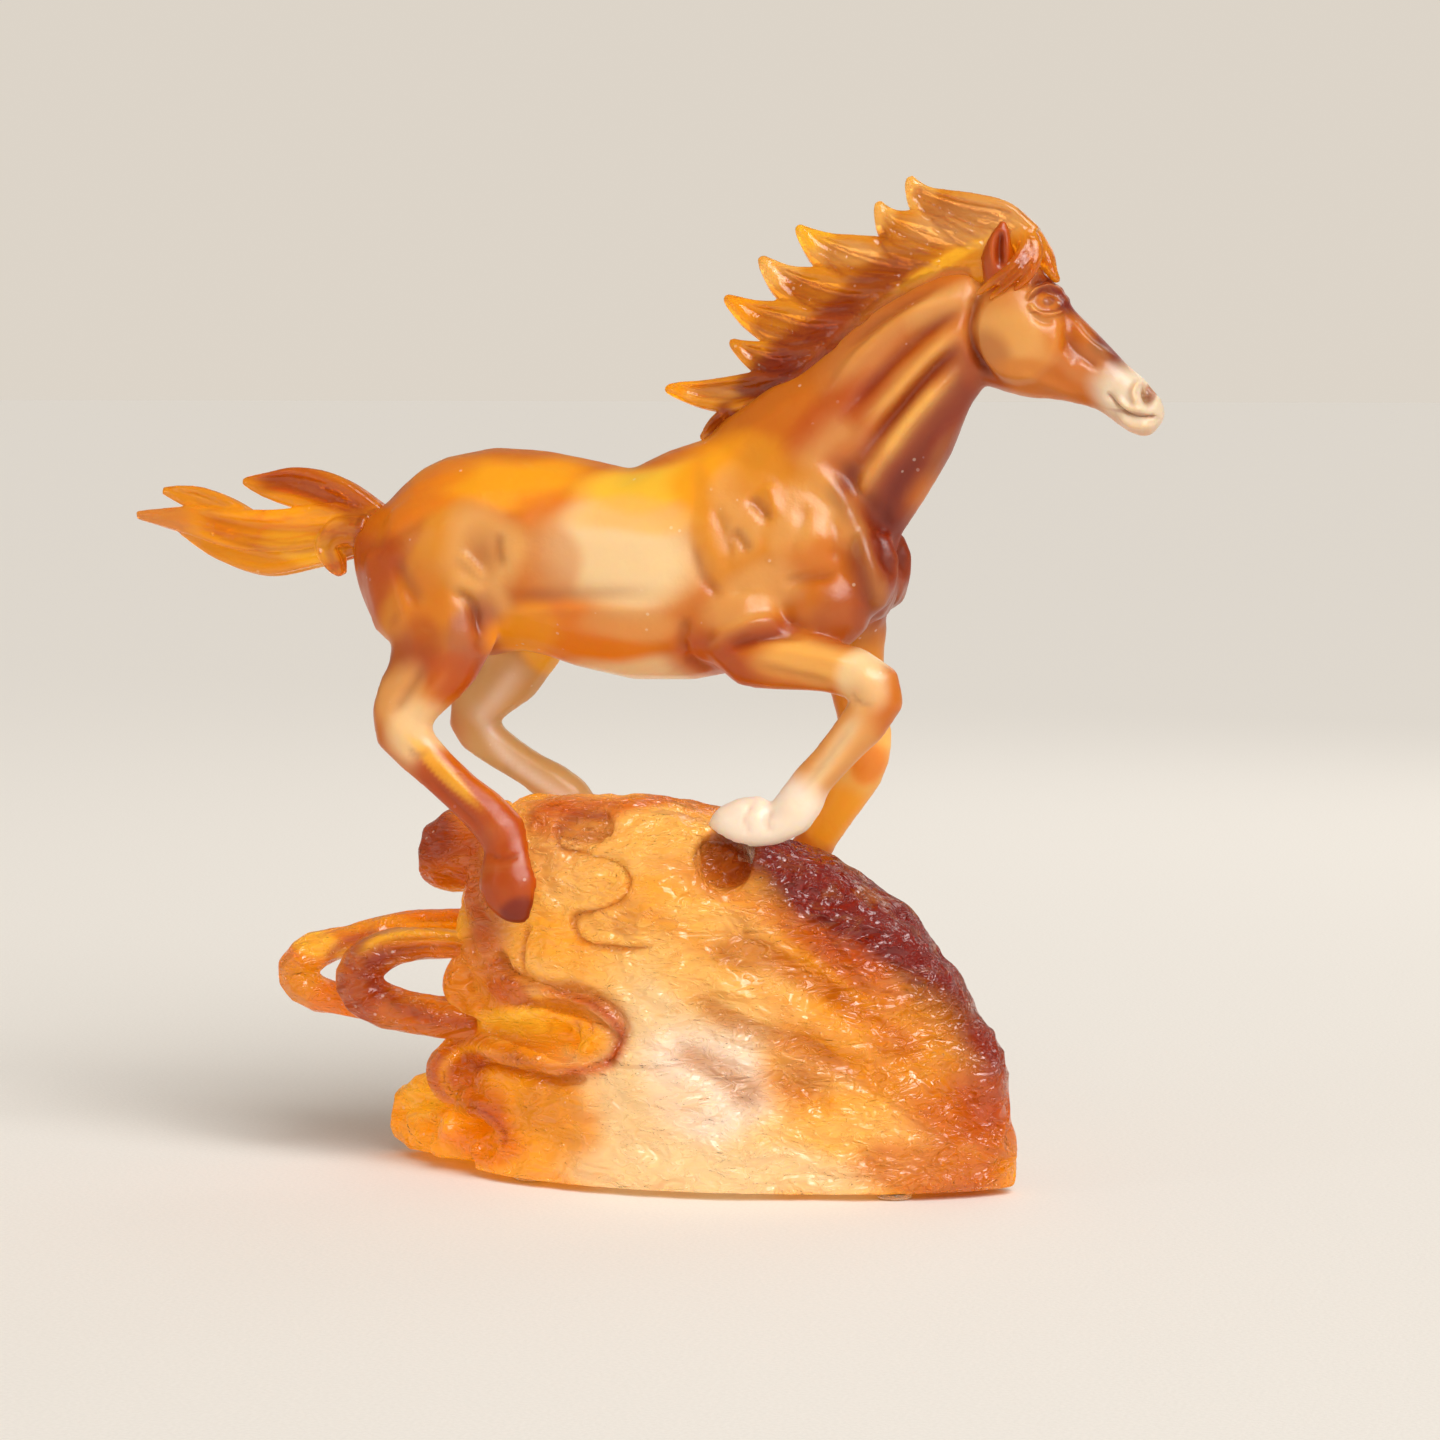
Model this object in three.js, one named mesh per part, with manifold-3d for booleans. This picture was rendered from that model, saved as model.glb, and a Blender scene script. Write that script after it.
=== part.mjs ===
// A cast glass figurine: a galloping horse bonded by its hooves to a scrolled wave of rock.
// Millimetres, +X towards the horse's nose, +Z up, the horse's near side towards -Y.
// The origin is under the middle of the figurine's bounding box, on the surface it stands on.
import * as THREE from 'three';
import { mergeVertices } from 'three/addons/utils/BufferGeometryUtils.js';
import Module from 'manifold-3d';

const wasm = await Module();
wasm.setup();

// ---------------------------------------------------------------- driving dimensions

const ROCK_LENGTH = 160; // from the scrolled end to the pointed end
const ROCK_HEIGHT = 110; // from the underside to the crest
const ROCK_DEPTH = 66; // the thickest place, front to back
const HORSE_LENGTH = 238; // buttock to nose
const HORSE_WIDTH = 52; // across the barrel
const LEG_SPREAD = 21; // from the middle plane to a cannon bone
const MANE_THICKNESS = 9; // across the locks
const TAIL_LENGTH = 78; // from the rump to the last tip
const TAIL_THICKNESS = 13;
const LOOP_THICKNESS = 13; // of both wave loops, front to back
const BUMPER_DIAMETER = 10;
const BUMPER_HEIGHT = 2;
const BOND_FILM = 0.5; // the cured adhesive between two castings
const BOND_GAP = 0.15; // on each side of that film
const HOOF_SINK = 1.6; // how far a hoof is ground to fit the rock

// ---------------------------------------------------------------- proportions

// The tables below are drawn for these lengths, and are scaled to the driving dimensions.
const DRAWN_HORSE_LENGTH = 238;
const DRAWN_HORSE_WIDTH = 52;
const DRAWN_ROCK_LENGTH = 160;
const DRAWN_ROCK_DEPTH = 66;
const DRAWN_ROCK_HEIGHT = 110;
const DRAWN_TAIL_LENGTH = 78;
const DRAWN_LEG_SPREAD = 21;
const DRAWN_BUMPER_HEIGHT = 2;
const DRAWN_CREST = DRAWN_BUMPER_HEIGHT + DRAWN_ROCK_HEIGHT;

const horseScale = HORSE_LENGTH / DRAWN_HORSE_LENGTH;
const widthScale = HORSE_WIDTH / DRAWN_HORSE_WIDTH;
const rockScale = ROCK_LENGTH / DRAWN_ROCK_LENGTH;
const depthScale = ROCK_DEPTH / DRAWN_ROCK_DEPTH;
const heightScale = ROCK_HEIGHT / DRAWN_ROCK_HEIGHT;
const crestHeight = BUMPER_HEIGHT + ROCK_HEIGHT;

// ---------------------------------------------------------------- solids

/** The closed solid of a three.js geometry. */
function solidOf(geometry) {
  const bare = geometry.clone();
  bare.deleteAttribute('normal');
  bare.deleteAttribute('uv');
  const merged = mergeVertices(bare, 1e-4);
  return new wasm.Manifold(
    new wasm.Mesh({
      numProp: 3,
      vertProperties: merged.attributes.position.array,
      triVerts: new Uint32Array(merged.index.array),
    }),
  );
}

/** A named mesh of a solid. */
function meshOf(name, solid, material) {
  const made = solid.getMesh();
  const geometry = new THREE.BufferGeometry();
  geometry.setAttribute('position', new THREE.BufferAttribute(made.vertProperties, 3));
  geometry.setIndex(new THREE.BufferAttribute(made.triVerts, 1));
  geometry.computeVertexNormals();
  const mesh = new THREE.Mesh(geometry, material);
  mesh.name = name;
  return mesh;
}

const oval = (angle) => [Math.cos(angle), Math.sin(angle)];

/** A power that keeps its base's sign, and is exactly 0 at 0 so that seams still meet. */
function signedPower(base, power) {
  return Math.abs(base) < 1e-6 ? 0 : Math.sign(base) * Math.abs(base) ** power;
}

/**
 * A closed body through sections [x, y, z, half across, half tall].
 * Each section stands square to the line through the centres. grow is added to every half size.
 */
function loft(sections, { sides = 14, steps = sections.length * 2, grow = 0, outline = oval } = {}) {
  const centres = new THREE.CatmullRomCurve3(sections.map(([x, y, z]) => new THREE.Vector3(x, y, z)));
  const halves = new THREE.CatmullRomCurve3(sections.map(([, , , a, b]) => new THREE.Vector3(a, b, 0)));
  const geometry = new THREE.CylinderGeometry(1, 1, 1, sides, steps);
  const place = geometry.attributes.position;
  const across = new THREE.Vector3();
  const upward = new THREE.Vector3();
  for (let i = 0; i < place.count; i++) {
    const share = THREE.MathUtils.clamp(0.5 - place.getY(i), 0, 1);
    const centre = centres.getPoint(share);
    const along = centres.getTangent(share);
    across.set(0, 1, 0).addScaledVector(along, -along.y).normalize();
    upward.crossVectors(along, across);
    const half = halves.getPoint(share);
    const reach = Math.hypot(place.getX(i), place.getZ(i));
    const [u, v] = reach > 0.5 ? outline(Math.atan2(place.getZ(i), place.getX(i))) : [0, 0];
    centre.addScaledVector(across, u * (Math.max(half.x, 0.4) + grow));
    centre.addScaledVector(upward, v * (Math.max(half.y, 0.4) + grow));
    centre.addScaledVector(along, grow * Math.sign(share - 0.5) * (share === 0 || share === 1 ? 1 : 0));
    place.setXYZ(i, centre.x, centre.y, centre.z);
  }
  return solidOf(geometry);
}

/** An ellipsoid with half sizes a, b, c, turned about +Y by tilt degrees. */
function blob([x, y, z], [a, b, c], tilt = 0, grow = 0) {
  const geometry = new THREE.SphereGeometry(1, 12, 7);
  geometry.scale(a + grow, b + grow, c + grow);
  geometry.rotateY(THREE.MathUtils.degToRad(tilt));
  geometry.translate(x, y, z);
  return solidOf(geometry);
}

/** The solids of a list joined into one. */
function joined(solids) {
  return solids.reduce((whole, next) => whole.add(next));
}

// ---------------------------------------------------------------- rock

// Stations along the rock: [x, middle y, half depth, height], drawn from the scrolled end to the point.
const ROCK_STATIONS = [
  [-47, 9, 12, 92],
  [-43, 8, 21, 104],
  [-35, 6, 25, 108.4],
  [-22, 3, 29, 109.8],
  [-8, 1, 31.5, 110],
  [8, 0, 33, 108.6],
  [22, 0, 33, 105.6],
  [44, 0, 31, 97.8],
  [62, 0, 27.5, 89],
  [78, 0, 23, 76.8],
  [92, 0, 16.5, 60.6],
  [100.5, 0, 11, 44],
  [105.5, 0, 6.5, 29],
  [108.5, 0, 2.5, 14],
];
const FRONT_POWER = 6; // how square the rock's cross section is in front
const REAR_POWER = 2.2; // and how round it is behind
const ROCK_SIDES = 32;
const ROCK_STEPS = 26;

/** A station's outline: flat underneath, an upright front, and a back that leans in. */
function slabOutline(angle) {
  const bend = 2 / (Math.cos(angle) > 0 ? REAR_POWER : FRONT_POWER);
  return [signedPower(Math.cos(angle), bend), signedPower(Math.max(Math.sin(angle), 0), bend)];
}

/** The other half of a station's outline: how far along one half size when this far along the other. */
function slabReach(share, side) {
  const power = side > 0 ? REAR_POWER : FRONT_POWER;
  return (1 - THREE.MathUtils.clamp(share, 0, 1) ** power) ** (1 / power);
}

const rockStations = ROCK_STATIONS.map(([x, y, depth, height]) => [
  x * rockScale,
  y * depthScale,
  depth * depthScale,
  height * heightScale,
]);

/** The rock's middle y, half depth and height at x, read between its stations. */
function rockAt(x) {
  const last = rockStations.length - 1;
  const at = THREE.MathUtils.clamp(x, rockStations[0][0], rockStations[last][0]);
  const next = Math.max(1, rockStations.findIndex(([station]) => station >= at));
  const [from, to] = [rockStations[next - 1], rockStations[next]];
  const share = (at - from[0]) / (to[0] - from[0]);
  return [1, 2, 3].map((k) => THREE.MathUtils.lerp(from[k], to[k], share));
}

/** Where the rock's side is at x and height z: side is -1 for the front and 1 for the back. */
function rockSide(x, z, side) {
  const [middle, depth, height] = rockAt(x);
  return middle + side * depth * slabReach((z - BUMPER_HEIGHT) / height, side);
}

/** How high the rock is at x and y. */
function rockTop(x, y) {
  const [middle, depth, height] = rockAt(x);
  return BUMPER_HEIGHT + height * slabReach(Math.abs(y - middle) / depth, y - middle);
}

// The scrolls and lobes at the rock's end: [x, y, z, half across, half tall] as on every loft.
const SCROLL_ROLLS = [
  // the knob at the top, the two nubs under it, the wave's lip, and the sill below
  [[-68.5, 6, 93.5, 8, 6.5], [-62, 6, 93.5, 11.5, 11], [-44, 6, 96, 14, 12]],
  [[-56, 3, 77, 6, 5], [-50, 4, 77, 12, 8.5], [-38, 6, 78, 17, 10]],
  [[-51.5, 3, 56, 6, 4.5], [-46, 4, 57, 13, 8], [-32, 6, 58, 19, 10]],
  [[-61.5, 3, 29.8, 7, 6], [-56, 3, 29.8, 12, 9.6], [-36, 5, 30, 20, 11.5]],
  [[-65, 8, 7, 10, 4.6], [-52, 8, 8.2, 18, 6.1], [-30, 6, 8.2, 22, 6.1]],
];
const REAR_LOBES = [
  [[-84.5, 24, 13.5, 5, 7.5], [-77, 24, 13.5, 8, 11.4], [-52, 22, 15, 9, 12]],
  [[-77, 13, 8.6, 5, 5.4], [-70, 13, 8.8, 8.5, 6.7], [-50, 12, 9, 11, 6.9]],
];
// Pockets cut into the end: the upper one between the nubs and the lip, and the lower one above the sill.
const UPPER_POCKET = { from: -66, to: -12, z: 43.5, half: 6.5, reach: 16 };
const LOWER_POCKET = { from: -70, to: -41, z: 16.2, half: 3.4, reach: 12 };
const EYE_HOLLOW = { x: 29.6, z: 96, radius: 8.5 };
const DISC_HOLLOW = { x: -12, z: 99, radius: 8.5, depth: 2 };

/** A pocket open to the end and to one side of the rock. */
function pocket({ from, to, z, half, reach }, side, grow) {
  const face = rockSide(to * rockScale, z * heightScale, side);
  const outside = face + side * ROCK_DEPTH;
  const inside = face - side * reach * depthScale;
  const middle = (outside + inside) / 2;
  const across = Math.abs(outside - inside) / 2;
  const height = half * heightScale;
  const sections = [from, (from + to) / 2, to - half, to].map((x, i) => [
    x * rockScale,
    middle,
    z * heightScale,
    across,
    i < 3 ? height : height * 0.45,
  ]);
  return loft(sections, { sides: 16, steps: 8, grow: -grow, outline: slotOutline });
}

/** A pocket's section: straight front to back and round above and below. */
function slotOutline(angle) {
  return [signedPower(Math.cos(angle), 0.35), Math.sin(angle)];
}

/** The whole rock, with every surface moved out by grow. */
function rockSolid(grow = 0) {
  const sections = rockStations.map(([x, y, depth, height]) => [x, y, BUMPER_HEIGHT, depth, height]);
  const slab = loft(sections, { sides: ROCK_SIDES, steps: ROCK_STEPS, grow, outline: slabOutline });
  const rolls = [...SCROLL_ROLLS, ...REAR_LOBES].map((roll) =>
    loft(
      roll.map(([x, y, z, a, b]) => [
        x * rockScale,
        y * depthScale,
        BUMPER_HEIGHT + (z - DRAWN_BUMPER_HEIGHT) * heightScale,
        a * depthScale,
        b * heightScale,
      ]),
      { sides: 14, steps: 6, grow },
    ),
  );
  const eye = EYE_HOLLOW;
  const disc = DISC_HOLLOW;
  const hollows = [-1, 1].flatMap((side) => {
    const eyeX = eye.x * rockScale;
    const eyeZ = eye.z * heightScale;
    const discX = disc.x * rockScale;
    const discZ = disc.z * heightScale;
    return [
      pocket(UPPER_POCKET, side, grow),
      pocket(LOWER_POCKET, side, grow),
      blob([eyeX, rockSide(eyeX, eyeZ, side), eyeZ], [eye.radius, eye.radius, eye.radius], 0, -grow),
      blob([discX, rockSide(discX, discZ, side), discZ], [disc.radius, disc.depth, disc.radius], 0, -grow),
    ];
  });
  const floor = new THREE.BoxGeometry(3 * ROCK_LENGTH, 3 * ROCK_DEPTH, ROCK_HEIGHT);
  floor.translate(0, 0, BUMPER_HEIGHT - grow - ROCK_HEIGHT / 2);
  return joined([slab, ...rolls]).subtract(joined(hollows)).subtract(solidOf(floor));
}

// ---------------------------------------------------------------- horse

/** A drawn section of the horse at its real size, riding on the rock's crest. */
function ridden([x, y, z, across, tall]) {
  return [
    x * horseScale,
    y * widthScale,
    crestHeight + (z - DRAWN_CREST) * horseScale,
    across * widthScale,
    tall * horseScale,
  ];
}

const TORSO = [
  [-87, 0, 178, 5, 6],
  [-84, 0, 178.5, 13, 14],
  [-76, 0, 178, 19, 21],
  [-66, 0, 178.5, 23.5, 26.5],
  [-55, 0, 180.5, 25.5, 29.5],
  [-44, 0, 183, 25.3, 29.5],
  [-32, 0, 182.5, 24, 29],
  [-20, 0, 180, 24.5, 29],
  [-8, 0, 177, 25.6, 30],
  [4, 0, 177, 26, 31.5],
  [16, 0, 180, 25, 33],
  [28, 0, 184, 23.5, 33],
  [40, 0, 184, 22.5, 32],
  [52, 0, 182, 20.5, 27],
  [62, 0, 178, 17, 20],
  [70, 0, 176, 10, 12],
  [73, 0, 176, 4, 5],
];
const NECK = [
  [34, 0, 184, 19, 30],
  [42, 0, 194, 18.5, 33],
  [52, 0, 206, 16, 30],
  [62, 0, 215.5, 13.5, 26],
  [70, 0, 225, 12, 23.5],
  [76.5, 0, 234.5, 11, 21],
  [84, 0, 242, 10, 19],
  [93, 0, 248, 9.5, 17],
  [100, 0, 251, 8, 14],
];
const HEAD = [
  [95, 0, 256, 4, 6],
  [98, 0, 253, 7.5, 13],
  [103, 0, 250, 9.5, 17.4],
  [109.5, 0, 245.2, 10.8, 17.2],
  [116, 0, 241, 10.2, 14.8],
  [122.5, 0, 238, 8.2, 11.9],
  [129.3, 0, 234.3, 6.8, 9.4],
  [135.8, 0, 230.2, 6, 7.3],
  [141, 0, 226, 6.3, 7],
  [145.5, 0, 221.8, 6, 6],
  [148.3, 0, 219.7, 3.4, 3.4],
];
const EARS = [-1, 1].map((side) => [
  [105, 4.5 * side, 256, 3.5, 4.4],
  [103.5, 6 * side, 265, 3.4, 4.8],
  [104.5, 7 * side, 272, 2.4, 3.4],
  [105.5, 7 * side, 277, 0.8, 1],
]);
// The muscles that stand out from the lofts: centre, half sizes and tilt about +Y.
const MUSCLES = [-1, 1].flatMap((side) => [
  [[65, 9 * side, 178], [11, 9, 14], 15],
  [[55, 11.5 * side, 169], [14, 10, 14], 0],
  [[26, 15 * side, 166], [13, 9, 15], 30],
  [[-60, 15 * side, 176], [17, 10, 24], -12],
]);
const LEGS = {
  near_fore: {
    side: -1,
    sections: [
      [30, -15, 168, 9, 15],
      [33, -17, 159, 9, 13.5],
      [42, -19, 154.5, 7.5, 9.6],
      [52, -20, 153, 6.5, 8],
      [63, -21, 151, 6, 7],
      [71, -21, 148, 6.4, 7.6],
      [72.5, -21, 142, 6.2, 7.5],
      [66, -21, 134, 5, 6.1],
      [59.5, -21, 126.5, 4.6, 5.3],
      [53, -20.5, 119.5, 4.8, 5.6],
      [49, -20, 112.5, 5.4, 6.8],
      [43.5, -20, 108.3, 5, 5.4],
      [37, -20, 108.6, 6.6, 7.8],
      [30, -20, 108.4, 6.2, 6],
      [23.5, -20, 106.5, 2, 1.6],
    ],
  },
  far_fore: {
    side: 1,
    sections: [
      [50, 13, 172, 9, 15],
      [56, 15, 162, 8.5, 11.5],
      [57, 17, 152, 7.5, 9.2],
      [59, 18, 139, 6, 7.4],
      [61, 19, 127, 6.2, 7.2],
      [59, 20, 118, 5.2, 6.2],
      [53, 20.5, 109, 4.6, 5.6],
      [46.5, 21, 99.5, 4.6, 5.3],
      [41, 22, 91.5, 5.4, 6.6],
      [35.5, 23.5, 86, 5.2, 5.6],
      [29, 26, 82, 6.8, 7.6],
      [22.5, 27.5, 79, 5.6, 5.8],
      [18.5, 28, 77.5, 2, 2],
    ],
  },
  near_hind: {
    side: -1,
    sections: [
      [-62, -12, 184, 11, 22],
      [-59, -15, 168, 10.5, 21],
      [-57.5, -18, 156, 8.6, 16],
      [-61.5, -20, 146.5, 6.8, 11.4],
      [-66.8, -21, 138.5, 5.6, 9.6],
      [-67.6, -21.3, 131, 5.4, 8.6],
      [-60.5, -21.3, 123, 4.6, 6.2],
      [-49.5, -21, 113, 4.6, 6],
      [-39, -21.5, 104, 5.4, 7.2],
      [-35.5, -22.5, 97, 5, 6.8],
      [-35, -24, 89.5, 6.8, 9.6],
      [-32.5, -25, 83, 6.2, 8.2],
      [-29, -25, 77.5, 2, 2.4],
    ],
  },
  far_hind: {
    side: 1,
    sections: [
      [-52, 12, 178, 11, 20],
      [-45, 15, 164, 10, 17],
      [-44, 17, 152, 8.2, 13],
      [-52, 19, 142, 6.6, 9.4],
      [-59, 20, 134.5, 5.4, 8],
      [-57, 20, 128, 5.2, 6.8],
      [-49.5, 20, 122.3, 4.6, 5.5],
      [-40, 20, 116.5, 4.6, 5.2],
      [-31, 20.5, 110.5, 5.4, 6.8],
      [-25.5, 22, 104, 5, 5.8],
      [-20, 24, 97.5, 6.6, 8],
      [-14.5, 25.5, 92, 5.6, 6],
      [-11.5, 26, 89, 2, 2],
    ],
  },
};
// Where each hoof is bonded: the near fore hoof on the rock's shoulder, the others on its sides.
const SEATS = {
  near_fore: { x: 37, z: 102, onTop: true },
  far_fore: { x: 29, z: 82, onTop: false },
  near_hind: { x: -35, z: 89.5, onTop: false },
  far_hind: { x: -20, z: 97.5, onTop: false },
};
const spreadScale = LEG_SPREAD / DRAWN_LEG_SPREAD;

/** The point on the rock where a hoof is bonded, and the way out of the rock there. */
function seatOf(name) {
  const { side } = LEGS[name];
  const { x, z, onTop } = SEATS[name];
  const seatX = x * rockScale;
  if (onTop) {
    const y = side * LEG_SPREAD;
    return { point: new THREE.Vector3(seatX, y, rockTop(seatX, y)), outward: new THREE.Vector3(0, 0, 1) };
  }
  const seatZ = BUMPER_HEIGHT + (z - DRAWN_BUMPER_HEIGHT) * heightScale;
  const point = new THREE.Vector3(seatX, rockSide(seatX, seatZ, side), seatZ);
  return { point, outward: new THREE.Vector3(0, side, 0) };
}

/** The middle of a hoof that is ground HOOF_SINK deep to fit its seat. */
function hoofCentre(name) {
  const { sections } = LEGS[name];
  const [, , , across, tall] = ridden(sections[sections.length - 3]);
  const { point, outward } = seatOf(name);
  return point.addScaledVector(outward, (SEATS[name].onTop ? tall : across) - HOOF_SINK);
}

/** A leg's sections, bent little by little below the body so that its hoof meets its seat. */
function plantedLeg(name) {
  const { sections } = LEGS[name];
  const sized = sections.map(ridden).map(([x, y, z, a, b]) => [x, y * spreadScale, z, a, b]);
  const hoofIndex = sections.length - 3;
  const [x, y, z] = sized[hoofIndex];
  const shift = hoofCentre(name).sub(new THREE.Vector3(x, y, z));
  return sized.map(([sx, sy, sz, a, b], i) => {
    const share = THREE.MathUtils.smootherstep(i, 1, hoofIndex);
    return [sx + shift.x * share, sy + shift.y * share, sz + shift.z * share, a, b];
  });
}

/** The horse's casting without its mane and tail, with every surface moved out by grow. */
function horseSolid(grow = 0) {
  const body = loft(TORSO.map(ridden), { sides: 20, steps: 19, grow });
  const neck = loft(NECK.map(ridden), { sides: 16, steps: 10, grow });
  const head = loft(HEAD.map(ridden), { sides: 14, steps: 16, grow });
  const ears = EARS.map((ear) => loft(ear.map(ridden), { sides: 8, steps: 5, grow }));
  const muscles = MUSCLES.map(([[x, y, z], [a, b, c], tilt]) => {
    const [cx, cy, cz] = ridden([x, y, z, 0, 0]);
    return blob([cx, cy, cz], [a * horseScale, b * widthScale, c * horseScale], tilt, grow);
  });
  const legs = Object.keys(LEGS).map((name) => loft(plantedLeg(name), { sides: 10, steps: 19, grow }));
  return joined([body, neck, head, ...ears, ...muscles, ...legs]);
}

// ---------------------------------------------------------------- mane and tail

// Each lock of the mane: root on the crest, a bend, and the tip, as [x, z, half height].
const MANE_LOCKS = [
  [[107, 271, 5], [99, 274, 7.6], [88, 278, 6.8], [80, 284, 4.2], [77.8, 288.3, 1.2]],
  [[96, 268, 6], [84, 270.5, 7.5], [74.5, 274, 6], [69.5, 278.4, 3], [68.3, 281.8, 1]],
  [[84, 263, 6], [72, 265, 7.5], [60, 267, 5.6], [51, 271.2, 3.6], [45.8, 275, 1.2]],
  [[74, 257, 6], [60, 255.5, 7], [48, 257.3, 5.6], [39.6, 262, 3.9], [35.3, 266, 1.4]],
  [[62, 249, 6], [48, 245.5, 6.5], [37, 248, 5], [29.6, 251.6, 3.2], [25, 255, 1.1]],
  [[52, 241, 6], [40, 236.5, 6], [32.5, 239.5, 3.6], [26.3, 242.6, 1.2]],
  [[42, 231, 6], [28, 228.5, 5], [18, 228.2, 3.4], [7.6, 229.4, 1.5]],
  [[34, 225, 5], [27, 223, 5], [21, 219, 3.6], [17.5, 215.5, 2]],
];
const MANE_CREST = [
  [112, 0, 268, 3.4, 4],
  [107, 0, 272, 4.5, 6],
  [98, 0, 270, 4.5, 7],
  [86, 0, 265, 4.5, 6.5],
  [72, 0, 257, 4.5, 6.5],
  [58, 0, 248, 4.5, 6],
  [46, 0, 236, 4.5, 6],
  [36, 0, 227, 4.5, 5],
  [26, 0, 221, 4, 4],
];
const FORELOCK = [
  [110, -2, 272, 4, 4],
  [112, -5, 267, 4, 4.5],
  [109, -9, 261, 2.6, 4],
  [104, -10.5, 257, 1.4, 2.6],
];
const LOCK_FAN = 1.1; // how far neighbouring locks lean to either side

/** The mane: a root along the crest of the neck, eight locks blown back from it, and the forelock. */
function maneSolid() {
  const half = MANE_THICKNESS / 2 / widthScale;
  const root = MANE_CREST.map(([x, y, z, , tall]) => ridden([x, y, z, half, tall]));
  const locks = MANE_LOCKS.map((lock, i) => {
    const lean = i % 2 ? LOCK_FAN : -LOCK_FAN;
    const sections = lock.map(([x, z, tall], k) => {
      const share = k / (lock.length - 1);
      return ridden([x, lean * share, z, half * (1 - 0.7 * share), tall]);
    });
    return loft(sections, { sides: 8, steps: 8 });
  });
  const forelock = loft(FORELOCK.map(ridden), { sides: 10, steps: 6 });
  return joined([loft(root, { sides: 8, steps: 12 }), ...locks, forelock]);
}

// The tail's locks, drawn back from the rump at x = TAIL_ROOT_X: [x, z, half height].
const TAIL_ROOT_X = -79;
const TAIL_ROOT_Z = 189;
const TAIL_LOCKS = [
  [[0, 191, 5], [-15, 198.5, 6.6], [-28, 200, 6], [-38, 201, 3.6], [-44, 202, 1]],
  [[0, 188, 6], [-15, 190, 8], [-31, 188, 8.6], [-46, 187.5, 8], [-59, 190.5, 6.2], [-70, 191.6, 3], [-77, 192, 1.4]],
  [[-38, 187, 5], [-50, 192, 6], [-58, 197, 5], [-65, 198.5, 3], [-69, 199, 1.2]],
  [[-8, 185, 5], [-24, 183, 5.5], [-38, 181, 6], [-52, 183.5, 5], [-64, 188, 2]],
  [[-3, 187, 4], [-14, 187, 4], [-17, 183.5, 3.8], [-14, 179, 3], [-12.5, 175.8, 1.4]],
];
const TAIL_SWAY = [0, 1.5, 3, 2, 0, -2, -3]; // how far the locks drift from the middle plane, root to tip

/** The tail: five locks that share one root. */
function tailSolid() {
  const lengthScale = TAIL_LENGTH / DRAWN_TAIL_LENGTH;
  const half = TAIL_THICKNESS / 2 / widthScale;
  const locks = TAIL_LOCKS.map((lock) => {
    const sections = lock.map(([back, z, tall], k) => {
      const share = k / (lock.length - 1);
      const [x, , up] = ridden([TAIL_ROOT_X, 0, z, 0, 0]);
      const [, sway, , across, high] = ridden([0, TAIL_SWAY[k], 0, half * (1 - 0.75 * share ** 2), tall]);
      return [x + back * lengthScale, sway, up, across, high];
    });
    return loft(sections, { sides: 10, steps: 10 });
  });
  return joined(locks);
}

// ---------------------------------------------------------------- wave loops

// Two hairpins of glass that leave the rock's end, pass behind each other and return: [x, z, half height].
const LOOPS = {
  wave_loop_front: {
    y: -7,
    path: [
      [-36, 66, 4.4],
      [-48, 67, 4.4],
      [-62, 67.8, 4.6],
      [-75, 66.5, 5.6],
      [-84, 61.5, 7],
      [-86, 55, 7.6],
      [-80, 49.5, 7],
      [-68, 47, 6.4],
      [-54, 45.6, 6.2],
      [-40, 45.5, 5],
      [-28, 45, 4],
    ],
  },
  wave_loop_rear: {
    y: 8,
    path: [
      [-38, 69, 5],
      [-50, 70.5, 5.4],
      [-64, 71.5, 5],
      [-80, 70, 4.8],
      [-93, 66, 4.6],
      [-104, 63, 5.6],
      [-110, 57.5, 6.4],
      [-108, 51.5, 6],
      [-98, 48.5, 5],
      [-80, 46.5, 4.6],
      [-62, 45.5, 4.6],
      [-44, 45, 4.6],
      [-30, 45, 4],
    ],
  },
};

/** One hairpin loop, cut back from the rock. */
function loopSolid({ y, path }, rock) {
  const across = LOOP_THICKNESS / 2;
  const sections = path.map(([x, z, tall]) => [x * rockScale, y * depthScale, z * heightScale, across, tall]);
  const cut = loft(sections, { sides: 10, steps: 24 }).subtract(rock);
  return largest(cut);
}

// ---------------------------------------------------------------- bonds and bumpers

const HOOF_BOND_RADIUS = 5;
const TAIL_BOND_RADIUS = 6;
const MANE_BOND_WIDTH = 4;

/** The largest piece of a solid that a cut has left in several. */
function largest(solid) {
  return solid.decompose().sort((a, b) => b.volume() - a.volume())[0];
}

/** The adhesive film under one hoof: a round patch of the layer that follows the rock's surface. */
function hoofBond(name, layer) {
  const { point } = seatOf(name);
  const plug = new THREE.CylinderGeometry(HOOF_BOND_RADIUS, HOOF_BOND_RADIUS, 2 * HOOF_BOND_RADIUS, 16);
  if (SEATS[name].onTop) plug.rotateX(Math.PI / 2);
  plug.translate(point.x, point.y, point.z);
  return largest(layer.intersect(solidOf(plug)));
}

/** The adhesive film along the mane's root: a strip of the layer that follows the horse's neck. */
function maneBond(layer) {
  const across = MANE_BOND_WIDTH / 2 / widthScale;
  const strip = MANE_CREST.slice(1, -1).map(([x, y, z, , tall]) => ridden([x, y, z, across, tall - 1]));
  return largest(layer.intersect(loft(strip, { sides: 10, steps: 10 })));
}

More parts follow.
